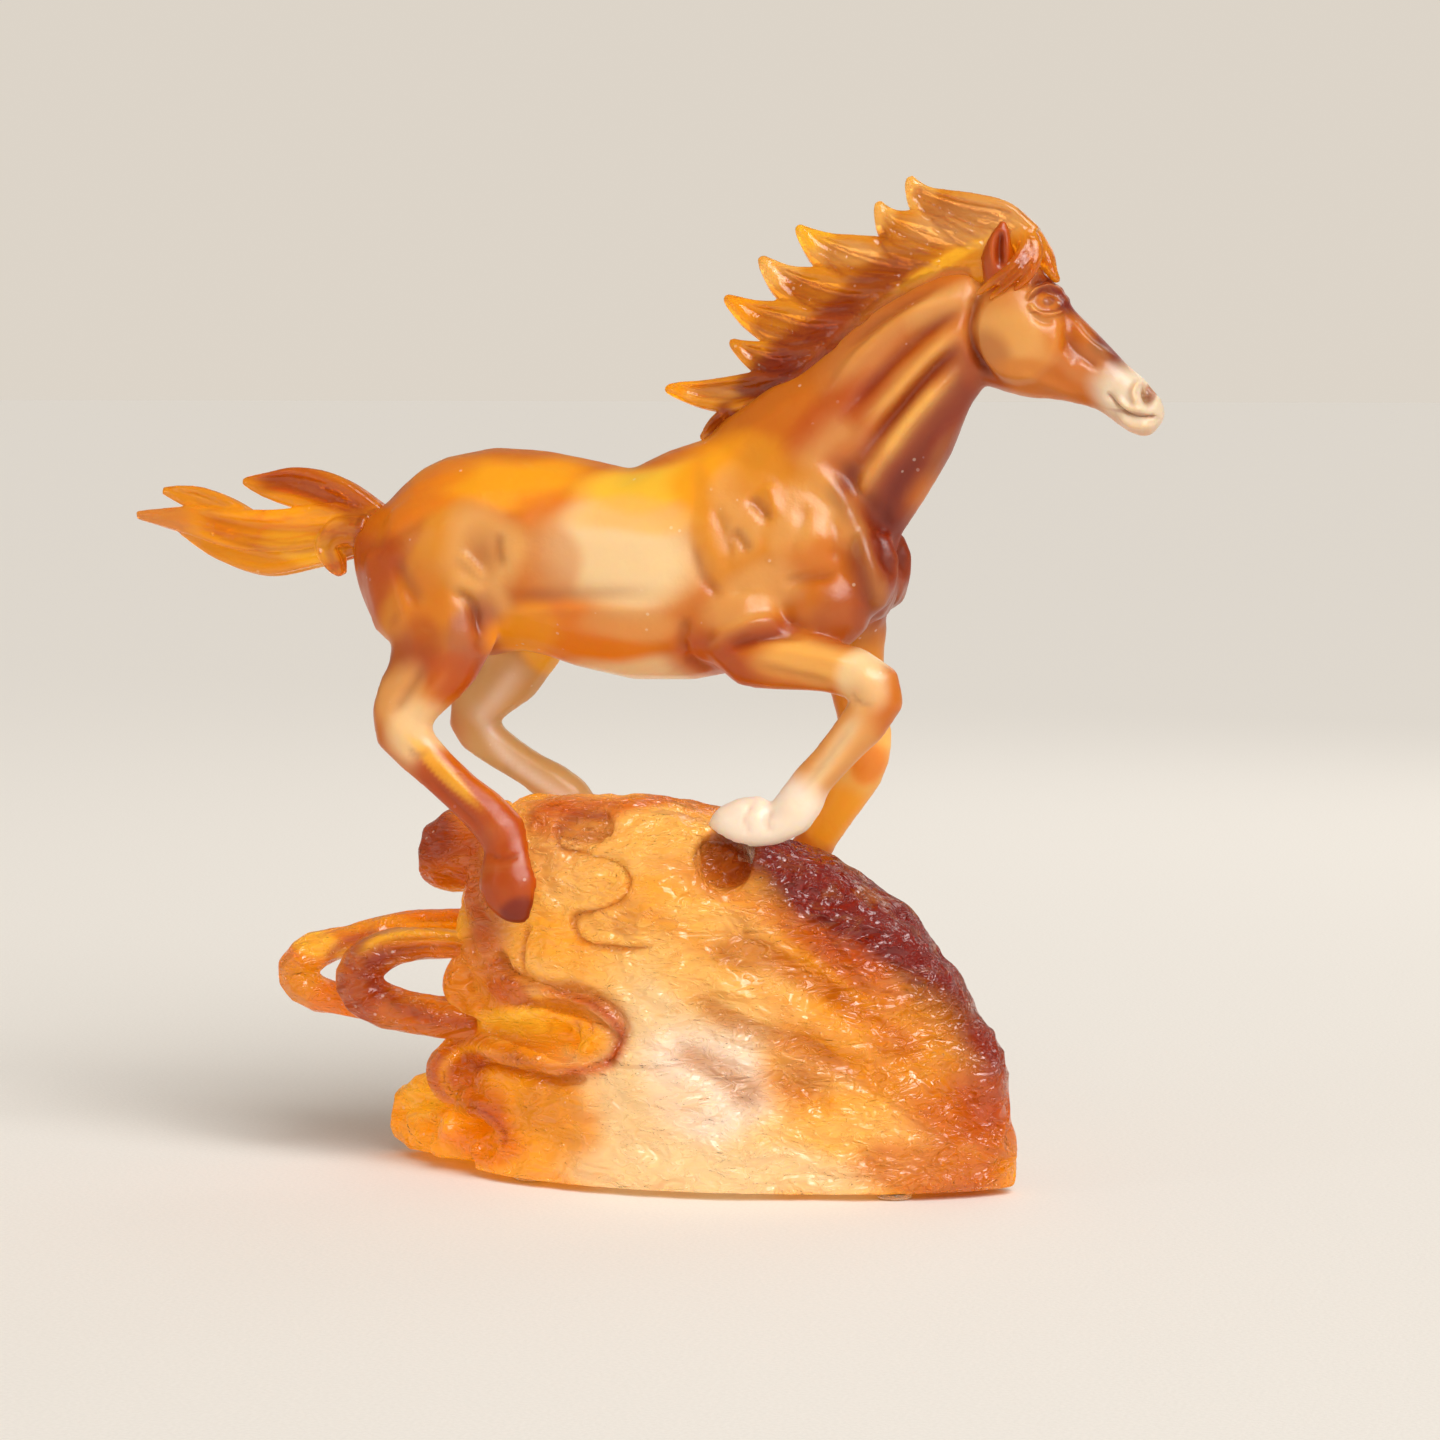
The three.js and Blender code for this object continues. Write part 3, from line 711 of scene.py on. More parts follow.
class Graph:
    """A material and the nodes in it."""

    def __init__(self, name: str) -> None:
        """Starts an empty material.

        Args:
            name: the material's name.
        """
        self.material = bpy.data.materials.new(name)
        self.material.use_nodes = True
        self.tree = self.material.node_tree
        self.tree.nodes.clear()

    def node(self, kind: str, settings: dict, values: dict) -> Placed:
        """Makes a node.

        Args:
            kind: its type.
            settings: its properties, which are set first.
            values: numbers, colours or wires for its input sockets.

        Returns:
            The node.
        """
        made = self.tree.nodes.new(kind)
        for key, setting in settings.items():
            setattr(made, key, setting)
        for key, value in values.items():
            if isinstance(value, Wire):
                self.tree.links.new(value.socket, made.inputs[key])
            else:
                made.inputs[key].default_value = value
        return Placed(self, made)

    def noise(
        self, coords: Wire, scale: float, detail: float = 2.0, roughness: float = 0.5, warp: float = 0.0
    ) -> Wire:
        """A noise value from 0 to 1.

        Args:
            coords: the coordinates it is read at.
            scale: waves in a metre.
            detail: how many finer octaves it has.
            roughness: how strong the finer octaves are.
            warp: how far it folds over itself.

        Returns:
            The value.
        """
        values = {
            "Vector": coords, "Scale": scale, "Detail": detail, "Roughness": roughness,
            "Distortion": warp,
        }
        return self.node("ShaderNodeTexNoise", {}, values).out(0)

    def stretched(self, coords: Wire, turn: float, size: tuple[float, float, float]) -> Wire:
        """Coordinates turned about Y and scaled.

        Args:
            coords: the coordinates.
            turn: the turn about Y in degrees.
            size: the scale on each axis.

        Returns:
            The new coordinates.
        """
        values = {"Vector": coords, "Rotation": (0.0, math.radians(turn), 0.0), "Scale": size}
        return self.node("ShaderNodeMapping", {}, values).out(0)

    def mixed(self, share: Wire | float, one: Wire | tuple, two: Wire | tuple, blend: str = "MIX") -> Wire:
        """Two colours mixed.

        Args:
            share: how much of the second is taken.
            one: the first colour.
            two: the second colour.
            blend: how they are mixed.

        Returns:
            The colour.
        """
        settings = {"data_type": "RGBA", "blend_type": blend, "clamp_result": True}
        return self.node("ShaderNodeMix", settings, {0: share, 6: one, 7: two}).out(2)

    def bump(self, height: Wire, distance: float, strength: float = 1.0, normal: Wire | None = None) -> Wire:
        """A normal bent by a height.

        Args:
            height: the height, from 0 to 1.
            distance: how many metres a height of 1 stands for.
            strength: how much of it is used.
            normal: another normal that it is added to.

        Returns:
            The normal.
        """
        values = {"Height": height, "Distance": distance, "Strength": strength}
        if normal is not None:
            values["Normal"] = normal
        return self.node("ShaderNodeBump", {}, values).out(0)

    def finish(self, shader: Placed) -> bpy.types.Material:
        """Joins a shader to the output.

        Args:
            shader: the shader node.

        Returns:
            The finished material.
        """
        self.node("ShaderNodeOutputMaterial", {}, {"Surface": shader.out(0)})
        return self.material


class Surface(Enum):
    """How the glass was worked after it came out of the mould."""

    FROSTED = "acid frosted"
    POLISHED = "fire polished"
    HAMMERED = "hammered and polished"


@dataclass(frozen=True)
class GlassFinish:
    """Cast coloured glass whose colour, painted shade and painted highlights lie in the mesh's tint layer,
    and which gives off a painted glow.
    """

    name: str
    surface: Surface
    transmission: float
    roughness: tuple[float, float]
    gloss: float
    mottle: float = 0.16
    painted_glow: float = 0.1

    # The hammering's lean in degrees and its scale on each axis, then the tints it is shaded with.
    FLOW: ClassVar[tuple[float, tuple[float, float, float]]] = (24, (0.6, 1.0, 1.25))
    SHADE: ClassVar[tuple[float, ...]] = (0.78, 0.6, 0.42, 1.0)
    SHINE: ClassVar[tuple[float, ...]] = (0.72, 0.36, 0.08, 1.0)
    BUBBLE: ClassVar[tuple[float, ...]] = (1.0, 0.9, 0.74, 1.0)

    def flakes(self, graph: Graph, flow: Wire) -> Wire:
        """The small hammered crescents, 1 on their crests."""
        return graph.noise(flow, 270, 2, 0.5, 1.8).between(0.5, 0.64)

    def relief(self, graph: Graph, coords: Wire) -> Wire:
        """The fine relief of the glass's surface.

        Args:
            graph: the material.
            coords: object coordinates.

        Returns:
            The bent normal.
        """
        if self.surface is Surface.FROSTED:
            soft = graph.bump(graph.noise(coords, 160, 3), 0.0006, 0.5)
            return graph.bump(graph.noise(coords, 1400, 2, 0.5), 0.00006, 0.4, soft)
        if self.surface is Surface.POLISHED:
            return graph.bump(graph.noise(coords, 240, 3, 0.5, 0.6), 0.0009, 0.5)
        flow = graph.stretched(coords, *self.FLOW)
        flakes = self.flakes(graph, flow)
        pits = graph.noise(flow, 760, 2, 0.5, 0.8).between(0.45, 0.75)
        swell = graph.bump(graph.noise(flow, 105, 2, 0.45, 0.8), 0.009, 1.0)
        crust = graph.bump(flakes, 0.0008, 1.0, swell)
        return graph.bump(pits, 0.00008, 1.0, crust)

    def material(self) -> bpy.types.Material:
        """Builds the material.

        Returns:
            The material.
        """
        graph = Graph(self.name)
        coords = graph.node("ShaderNodeTexCoord", {}, {}).out("Object")
        tint = graph.node("ShaderNodeAttribute", {"attribute_name": Clay.TINT_LAYER}, {}).out("Color")
        clouds = graph.noise(coords, 42, 4, 0.6, 1.2)
        deep = graph.mixed(1.0, tint, self.SHADE, "MULTIPLY")
        pale = graph.mixed(0.45, tint, self.SHINE, "SCREEN")
        varied = graph.mixed(clouds.between(0.42, 0.2) * self.mottle * 2.4, tint, deep)
        varied = graph.mixed(clouds.between(0.56, 0.78) * self.mottle * 2.0, varied, pale)
        if self.surface is Surface.HAMMERED:
            flow = graph.stretched(coords, *self.FLOW)
            # Painted shade: the glass between the hammered crests is darkened, and the crests keep the
            # lighter colour.
            varied = graph.mixed(0.16 - self.flakes(graph, flow) * 0.16, varied, deep)
            streaks = graph.noise(flow, 64, 4, 0.65, 0.6)
            varied = graph.mixed(streaks.between(0.44, 0.3) * 0.4, varied, deep)
            varied = graph.mixed(streaks.between(0.54, 0.7) * 0.4, varied, pale)
        bubbles = graph.node("ShaderNodeTexVoronoi", {}, {"Vector": coords, "Scale": 210.0}).out("Distance")
        dots = bubbles.between(0.13, 0.07) * graph.noise(coords, 60).between(0.55, 0.62)
        varied = graph.mixed(dots * 0.35, varied, self.BUBBLE)
        smear = graph.noise(coords, 90, 3, 0.6)
        low, high = self.roughness
        values = {
            "Base Color": varied,
            "Roughness": smear.between(0.3, 0.7, low, high),
            "Normal": self.relief(graph, coords),
            "IOR": 1.5,
            "Specular IOR Level": self.gloss,
            "Transmission Weight": self.transmission,
            "Subsurface Weight": 1.0,
            "Subsurface Radius": (1.0, 0.55, 0.25),
            "Subsurface Scale": 0.002,
            # Painted glow: the glass gives off light in its own colour, though it is no lamp.
            "Emission Color": varied,
            "Emission Strength": self.painted_glow,
        }
        return graph.finish(graph.node("ShaderNodeBsdfPrincipled", {}, values))


@dataclass(frozen=True)
class ClearFinish:
    """Clear polymer: the bumpers and the adhesive films."""

    name: str
    tint: tuple[float, float, float]
    roughness: float

    def material(self) -> bpy.types.Material:
        """Builds the material.

        Returns:
            The material.
        """
        graph = Graph(self.name)
        coords = graph.node("ShaderNodeTexCoord", {}, {}).out("Object")
        haze = graph.noise(coords, 700, 3, 0.6)
        values = {
            "Base Color": graph.mixed(haze * 0.3, (*self.tint, 1.0), (0.86, 0.8, 0.7, 1.0)),
            "Roughness": haze.between(0.3, 0.7, self.roughness, self.roughness + 0.12),
            "Normal": graph.bump(haze, 0.0002, 0.4),
            "IOR": 1.47,
            "Transmission Weight": 0.92,
        }
        return graph.finish(graph.node("ShaderNodeBsdfPrincipled", {}, values))


def declare(piece: bpy.types.Object, nodes: list[str], material: bpy.types.Material) -> None:
    """Dresses a finished piece, hangs it under the root and hides the CAD nodes it replaces.

    Args:
        piece: the piece.
        nodes: the CAD nodes that it replaces.
        material: its material.
    """
    piece.data.materials.append(material)
    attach(piece, "root")
    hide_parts(*nodes)
    log.info("%s: %d points, %d faces", piece.name, len(piece.data.vertices), len(piece.data.polygons))


@dataclass
class Horse:
    """The frosted casting: body, neck, head and four legs."""

    voxel: float = 1.12
    rounds: int = 12
    swell: float = 0.46
    finish: GlassFinish = GlassFinish("frosted_amber_glass", Surface.FROSTED, 0.3, (0.28, 0.4), 0.45)
    fine_areas: tuple[tuple[tuple[float, ...], tuple[float, ...]], ...] = (
        ((97, -30, 214), (160, 30, 290)),
        ((110, -30, 247), (128, 30, 265)),
        ((133, -30, 216), (156, 30, 237)),
    )

    def body_marks(self) -> list[Mark]:
        """The muscles and folds of the trunk."""
        return [
            Stroke(((-52, 173), (-47.5, 170), (-44.5, 165), (-43, 158)), 1.6, -1.6),
            Stroke(((-54, 176), (-47, 174), (-42, 170)), 2.4, 0.9),
            Stroke(((-50, 184.6), (-45.3, 179.4), (-41, 175)), 1.4, 1.1),
            Stroke(((-37.5, 190), (-37.5, 184), (-36.2, 177)), 1.6, -1.1),
            Dab((-43, 182), (8, 9), -1.7),
            Dab((-33, 180), (6, 12), 0.9),
            Stroke(((-69, 183), (-65.5, 174), (-60, 166)), 2.6, -1.3),
            Dab((-58, 186), (10, 12), 1.0),
            Dab((-66, 164), (6, 12), 0.8, 12),
            Stroke(((-40, 169.5), (-18, 171), (15, 172)), 2.2, -0.9),
            Stroke(((-40, 165.6), (-18, 167), (15, 168)), 1.5, 0.5),
            Stroke(((18.7, 189), (22.5, 177), (29, 170)), 1.7, -1.2),
            Stroke(((24.7, 199), (29, 189.6), (31.5, 181)), 1.8, -0.8),
            Stroke(((21, 196), (25.5, 184), (30, 175.5)), 2.2, 0.5),
            Stroke(((34.5, 200), (38.5, 196.5), (42.5, 192)), 1.7, -1.7),
            Stroke(((39.8, 204), (42, 199), (43, 193)), 1.6, 0.8),
            Stroke(((30.5, 191), (33.5, 187.5), (36.5, 183)), 1.6, -1.4),
            Stroke(((33, 193), (37, 188), (39, 181)), 1.8, 0.4),
            Stroke(
                ((47, 210), (56.6, 204), (63, 195), (68.4, 184), (71, 175), (70.5, 166), (64, 156)),
                2.6, 1.6,
            ),
            Stroke(((53, 212), (62, 206), (69, 196), (74, 184), (76, 174)), 3.0, -2.0),
            Stroke(((44, 176), (52, 176.5), (62, 178)), 1.8, -1.2),
            Dab((51.7, 186), (9, 9), 0.8),
            Dab((57, 168), (10, 8), 0.6),
            Stroke(((51, 199), (50, 190), (46, 181)), 2.0, -0.7),
            Stroke(((58, 196), (60, 188), (59, 180)), 2.0, -0.8),
            Stroke(((22, 155.5), (29.6, 160.6), (38, 164), (48, 165)), 2.0, 1.7),
            Stroke(((28, 156.5), (36, 159), (46, 160.6), (55, 160)), 1.7, -1.7),
            Stroke(((15, 155), (18.8, 150.5), (25, 146.4)), 1.6, -1.3),
            Stroke(((18, 166), (15.5, 160), (16, 153)), 1.8, -1.2),
            Stroke(((-46.4, 169), (-43.7, 160), (-44.5, 153)), 1.8, -1.3),
            Dab((-50, 158), (6, 8), 0.8, 20),
            Stroke(((70, 186), (76, 178), (79, 168)), 2.0, -1.2),
            Stroke(((72, 170), (75, 162), (72, 156)), 1.8, -1.2),
        ]

    def neck_marks(self) -> list[Mark]:
        """The long muscles of the neck."""
        return [
            Stroke(((97, 258), (80, 251), (65, 239), (54, 226)), 2.2, 2.4, taper=0.35),
            Stroke(((98, 250), (86, 240), (76, 229), (62, 214)), 2.4, 2.6, taper=0.35),
            Stroke(((96, 238), (86, 229), (77, 218), (68, 205), (64, 196)), 1.9, 3.0, taper=0.3),
            Stroke(((96, 254), (83, 245.5), (71, 234), (58, 219)), 2.2, -2.2, taper=0.3),
            Stroke(((96, 244.5), (85, 234.5), (76, 223.5), (64, 208)), 2.2, -2.6, taper=0.3),
            Stroke(((97, 233), (89, 222), (80, 208), (73, 197), (71, 187)), 2.8, -1.8, taper=0.35),
            Stroke(((90, 260), (73, 251), (57, 239)), 1.8, -1.2),
            Dab((86, 214), (4, 13), 1.6, -28),
        ]

    def head_marks(self) -> list[Mark]:
        """The bones and features of the head."""
        return [
            Stroke(((101, 263), (97.3, 253), (96.8, 244), (100, 236), (106, 231.5)), 1.5, -2.4),
            Dab((110, 245.4), (12.4, 13.4), 1.6, 0, Side.BOTH, Edge.FLAT),
            Stroke(((121, 244), (125, 240), (127, 236)), 1.5, -0.9),
            Dab((126, 247), (6.5, 3.6), -0.9, -52),
            Dab((118, 255), (6.4, 5.4), -2.4, -20),
            Dab((118.2, 254.6), (3.6, 2.7), 2.6, -24),
            Stroke(
                ((112.6, 254), (114.6, 257.2), (117.8, 258.6), (121.4, 257), (123.4, 253)),
                0.7, 2.2, taper=0.15,
            ),
            Stroke(
                ((112.6, 257.4), (115, 260), (118.6, 260.8), (122, 259.2)),
                0.6, -1.3, Side.BOTH, Edge.KEEN, 0.4,
            ),
            Stroke(((111.4, 259), (114.6, 262.6), (119.6, 263.6), (124.4, 260.6), (127, 256)), 1.5, 1.6),
            Stroke(((113, 253.6), (115.6, 251), (119.4, 250.4), (122.8, 252.2)), 0.65, 1.6, taper=0.15),
            Stroke(((113.6, 250.6), (117, 248.4), (121, 248.2)), 0.9, -0.7, taper=0.4),
            Dab((127, 256.6), (3.4, 3.4), 1.6, -50, Side.ALL),
            Stroke(((123, 252), (129.5, 243), (137, 237.6)), 1.2, 1.5),
            Stroke(((121, 248), (127.4, 240), (134, 234.6)), 1.4, -1.3),
            Stroke(((130, 248), (138, 240), (144, 234)), 1.4, -0.5),
            Stroke(((143.2, 231.6), (145.2, 234), (148, 233.4), (149.8, 229.6), (148.4, 225)), 0.8, 1.7),
            Stroke(((143.8, 232.6), (142.2, 228.8), (144, 224.6)), 0.9, 1.6),
            Dab((146.4, 229), (1.9, 3.6), -4.0),
            Stroke(
                ((134.6, 229.4), (138.2, 225), (143, 222.2), (150, 222.4)),
                0.8, -1.7, Side.BOTH, Edge.KEEN, 0.12,
            ),
            Stroke(((137, 228.4), (141, 224.8), (147, 224.4)), 0.9, 1.2),
            Stroke(((137, 223.4), (142, 220), (148, 219.8)), 0.9, 1.2),
            Stroke(((109, 236), (118, 231.6), (128, 227.4)), 1.6, 0.6),
            Stroke(((105.4, 263), (104.6, 269), (105, 275)), 1.3, -2.2),
            Stroke(((103.8, 263), (102.6, 269), (104.4, 276)), 0.9, 0.6),
        ]

    def leg_marks(self) -> list[Mark]:
        """The joints, tendons and hooves of the legs."""
        near, far = Side.NEAR, Side.FAR
        return [
            Stroke(((36, 153), (50, 149.5), (64, 146.5)), 1.6, -1.1, near),
            Stroke(((44, 157), (56, 155), (68, 152.5)), 1.6, 0.8, near),
            Dab((70, 148.5), (4, 4.5), 0.9, 0, near),
            Stroke(((66, 146), (68, 142.5), (74, 141)), 1.0, -0.8, near),
            Stroke(((69, 139), (60, 127), (51, 115)), 1.0, -0.8, near),
            Stroke(((72, 138), (64, 127), (56, 117)), 1.1, 0.6, near),
            Dab((49, 112), (4, 4.4), 0.8, 0, near),
            Stroke(((44, 112), (42, 108), (44, 104)), 1.1, -0.8, near),
            Stroke(((38.5, 115), (36, 109), (37.5, 103)), 0.8, -0.9, near, Edge.KEEN),
            Stroke(((-58, 152), (-64, 143), (-70, 135)), 1.7, -1.2, near),
            Stroke(((-52, 150), (-58, 142), (-62, 134)), 1.7, 0.8, near),
            Dab((-67.5, 132), (3.6, 5), 0.9, 0, near),
            Stroke(((-66, 127), (-62, 124.5), (-58, 126)), 1.0, -0.8, near),
            Stroke(((-62, 121), (-50, 110), (-41, 102)), 1.0, -0.8, near),
            Stroke(((-57, 123.5), (-46, 113), (-38, 106)), 1.1, 0.7, near),
            Dab((-38.6, 104), (4, 4.4), 0.8, 0, near),
            Stroke(((-41.5, 97), (-36, 95.5), (-29.5, 97)), 0.8, -1.0, near, Edge.KEEN),
            Stroke(((-57, 133), (-55, 128), (-50, 125)), 1.1, -0.9, far),
            Stroke(((-50, 121), (-40, 114.5), (-32, 109)), 1.0, -0.8, far),
            Dab((-58, 131), (3.6, 4.4), 0.8, 0, far),
            Stroke(((-28, 100), (-22, 100.5), (-17, 104)), 0.8, -0.9, far, Edge.KEEN),
            Stroke(((57, 126), (61, 122), (66, 123)), 1.0, -0.9, far),
            Dab((60, 127), (4, 4.6), 0.8, 0, far),
            Stroke(((58, 117), (50, 105), (43, 95)), 1.0, -0.8, far),
            Stroke(((25, 89), (30, 86), (34, 80)), 0.8, -0.9, far, Edge.KEEN),
        ]

    def clouds(self) -> list[Colouring]:
        """The colours that drift through the casting, with painted highlights on the neck's ridges and
        painted shade in its grooves and in the ear, eyelids, nostril and mouth.
        """
        near, far = Side.NEAR, Side.FAR
        return [
            # rump, croup and thigh
            Cloud((-62, 180), (18, 30), Tint.GOLD),
            Cloud((-68, 186), (6, 14), Tint.BURNT, 0.6, -20),
            Cloud((-78, 176), (9, 26), Tint.BURNT, 0.9, -12),
            Cloud((-62, 198), (22, 6), Tint.ORANGE, 0.9, 24),
            Cloud((-36, 203), (20, 7), Tint.MARIGOLD, 1.0),
            Cloud((-20, 195), (14, 6), Tint.ORANGE, 0.8, -10),
            Cloud((-42, 184), (12, 12), Tint.TAN, 0.95),
            Cloud((-43, 170), (8, 9), Tint.TAN, 0.8),
            Cloud((-62, 166), (10, 14), Tint.AMBER, 0.6),
            Cloud((-45, 157), (7, 12), Tint.PLUM, 0.75),
            Cloud((-66, 152), (9, 8), Tint.RUST, 0.65),
            Cloud((-61, 155), (7, 9), Tint.RUST, 0.6),
            Cloud((-53, 149), (7, 7), Tint.BURNT, 0.8),
            Cloud((-58, 205), (12, 4), Tint.ORANGE, 0.6, 16),
            # barrel
            Cloud((-2, 182), (25, 17), Tint.TAN, 0.7),
            Cloud((-2, 183), (22, 16), Tint.CREAM, 0.9),
            Cloud((-22, 180), (8, 14), Tint.CLAY, 0.5),
            Cloud((6, 202), (22, 6), Tint.SUN, 1.0, 6),
            Cloud((4, 194), (20, 5), Tint.HONEY, 0.7),
            Cloud((-14, 159), (26, 9), Tint.ORANGE, 0.95),
            Cloud((-32, 160), (10, 8), Tint.MARIGOLD, 0.7),
            Cloud((0, 163), (14, 5), Tint.TAN, 0.6),
            Cloud((2, 147), (24, 6), Tint.CREAM, 1.0),
            # withers, shoulder and chest
            Cloud((26, 205), (14, 12), Tint.MARIGOLD, 0.95, -20),
            Cloud((24, 188), (4, 20), Tint.GOLD, 0.7, 12),
            Cloud((42, 190), (18, 22), Tint.GOLD, 0.9),
            Cloud((32, 196), (7, 12), Tint.TAN, 0.7, 10),
            Cloud((48, 186), (6, 9), Tint.TAN, 0.6),
            Cloud((62, 192), (5, 12), Tint.TAN, 0.6, 30),
            Cloud((40, 206), (12, 10), Tint.GOLD, 0.8),
            Cloud((54, 199), (10, 9), Tint.TAN, 0.5),
            Cloud((55, 175), (14, 12), Tint.AMBER, 0.95),
            Cloud((36, 172), (14, 8), Tint.TAN, 0.7, 20),
            Cloud((62, 166), (9, 10), Tint.RUST, 0.7),
            Cloud((74, 176), (10, 20), Tint.OXBLOOD, 0.85),
            Cloud((36, 160), (16, 3.6), Tint.RUST, 0.8, 14),
            Cloud((26, 151), (15, 8), Tint.BURNT, 0.85, -16),
            # neck
            Cloud((80, 232), (26, 22), Tint.CLAY, 1.0, 45),
            Cloud((60, 221), (18, 9), Tint.BURNT, 0.8, 45),
            Cloud((88, 222), (26, 9), Tint.OXBLOOD, 0.9, 58),
            Cloud((70, 200), (10, 14), Tint.OXBLOOD, 0.85),
            Cloud((86, 246), (16, 5), Tint.AMBER, 0.7, 36),
            Cloud((90, 254), (12, 5), Tint.TAN, 0.7, 36),
            # The clay and honey streaks are painted highlights along the neck's ridges.
            Streak(((96, 239), (86, 229), (77, 218), (68, 205), (64, 194)), 3.2, Tint.CLAY, 1.0),
            Streak(((88, 231), (80, 222), (72, 210)), 2, Tint.HONEY, 0.7),
            Streak(((98, 250), (86, 240), (76, 229), (60, 212)), 3.2, Tint.CLAY, 0.8),
            Streak(((92, 246), (80, 234), (68, 221)), 1.8, Tint.HONEY, 0.4),
            Streak(((64, 222), (56, 214), (48, 206)), 5, Tint.TAN, 0.6),
            # The rust and burnt streaks are painted shade along the neck's grooves.
            Streak(((97, 245), (86, 235), (76, 224), (64, 208)), 1.8, Tint.RUST, 0.8),
            Streak(((97, 254), (84, 245), (72, 234), (58, 219)), 1.8, Tint.BURNT, 0.7),
            # head
            Cloud((112, 246), (16, 18), Tint.CLAY, 1.0),
            Cloud((109, 245), (10, 9), Tint.TAN, 0.7),
            Cloud((101, 236), (7, 10), Tint.RUST, 0.7, 20),
            Cloud((122, 257), (12, 6), Tint.OXBLOOD, 0.8, -40),
            Cloud((104, 267), (6, 11), Tint.BURNT, 0.9),
            Cloud((131, 244.6), (14, 4.6), Tint.GARNET, 0.9, -48),
            Cloud((124, 244), (8, 5), Tint.AMBER, 0.9, -50),
            Cloud((115, 233.6), (12, 4), Tint.AMBER, 0.9, -16),
            Cloud((134, 231), (8, 4), Tint.PLUM, 0.4, -40),
            Cloud((130, 236), (8, 5), Tint.CLAY, 0.8, -40),
            Cloud((144, 227), (13, 9), Tint.MIST, 1.0, -40),
            # Painted shade in the ear's groove.
            Cloud((105, 269), (1.6, 5), Tint.RUST, 0.8),
            Cloud((118.2, 254.6), (3, 2.6), Tint.AMBER, 0.9, 0, 0.5),
            Cloud((118.6, 254.6), (1.4, 1.3), Tint.OXBLOOD, 0.9, 0, 0.6),
            # Painted shade in the creases of the upper and lower eyelids.
            Cloud((115, 256.8), (2.6, 0.6), Tint.OXBLOOD, 0.9, 48, 0.6),
            Cloud((120.4, 257.2), (3, 0.6), Tint.OXBLOOD, 0.9, -36, 0.6),
            Cloud((118, 251.4), (4.2, 0.5), Tint.RUST, 0.9, 2, 0.6),
            # Painted shade in the nostril and along the mouth.
            Cloud((146.4, 229), (1.5, 3.2), Tint.PLUM, 0.6, 0, 0.5),
            Cloud((142.4, 223), (7, 0.6), Tint.PLUM, 0.4, -10, 0.7),
            # near foreleg
            Cloud((54, 153), (16, 6), Tint.HONEY, 0.8, 0, 0.7, near),
            Cloud((70, 148), (7, 9), Tint.CREAM, 0.9, 0, 0.7, near),
            Cloud((60, 128), (10, 22), Tint.TAN, 0.7, -36, 0.6, near),
            Streak(((70, 140), (60, 126), (50, 113)), 2.4, Tint.CREAM, 0.9, near),
            Cloud((38, 108), (20, 12), Tint.PEARL, 1.0, 10, 0.6, near),
            # far foreleg
            Cloud((60, 142), (10, 18), Tint.GOLD, 0.9, 0, 0.6, far),
            Cloud((56, 118), (12, 20), Tint.HONEY, 1.0, -36, 0.6, far),
            Cloud((52, 106), (12, 8), Tint.MARIGOLD, 0.8, -36, 0.6, far),
            Cloud((62, 122), (5, 6), Tint.ORANGE, 0.8, 0, 0.6, far),
            Cloud((32, 86), (16, 12), Tint.ORANGE, 0.9, -30, 0.6, far),
            # near hindleg
            Cloud((-66, 140), (8, 12), Tint.TAN, 0.8, 0, 0.7, near),
            Cloud((-62, 132), (9, 10), Tint.CREAM, 0.7, 0, 0.7, near),
            Cloud((-48, 111), (18, 8), Tint.BURNT, 1.0, -44, 0.5, near),
            Cloud((-54, 120), (14, 2), Tint.SUN, 0.7, -44, 0.7, near),
            Cloud((-37, 99), (9, 10), Tint.BURNT, 0.9, 0, 0.6, near),
            Cloud((-33, 86), (11, 12), Tint.BURNT, 1.0, 0, 0.5, near),
            Cloud((-31, 79), (6, 5), Tint.OXBLOOD, 0.9, 0, 0.6, near),
            # far hindleg
            Cloud((-46, 140), (18, 14), Tint.SAND, 1.0, 0, 0.6, far),
            Cloud((-32, 150), (14, 6), Tint.SUN, 0.8, -40, 0.6, far),
            Cloud((-40, 118), (26, 12), Tint.SAND, 1.0, -36, 0.6, far),
            Streak(((-56, 134), (-48, 122), (-34, 112), (-20, 104)), 2, Tint.PEARL, 0.8, far),
            Streak(((-40, 150), (-50, 138), (-58, 130)), 3, Tint.PEARL, 0.6, far),
            Cloud((-16, 94), (9, 9), Tint.TAN, 0.9, 0, 0.6, far),
        ]

    def build(self) -> bpy.types.Object:
        """Shapes and tints the casting.

        Returns:
            The finished piece.
        """
        piece = cast("horse", "horse_body", self.voxel, self.rounds)
        for low, high in self.fine_areas:
            refine(piece.data, low, high)
        clay = Clay(piece.data)
        clay.swell(self.swell)
        clay.work([*self.body_marks(), *self.leg_marks()])
        clay.work(self.neck_marks())
        clay.work(self.head_marks())
        clay.tinted(Tint.AMBER, self.clouds())
        declare(piece, ["horse_body"], self.finish.material())
        return piece


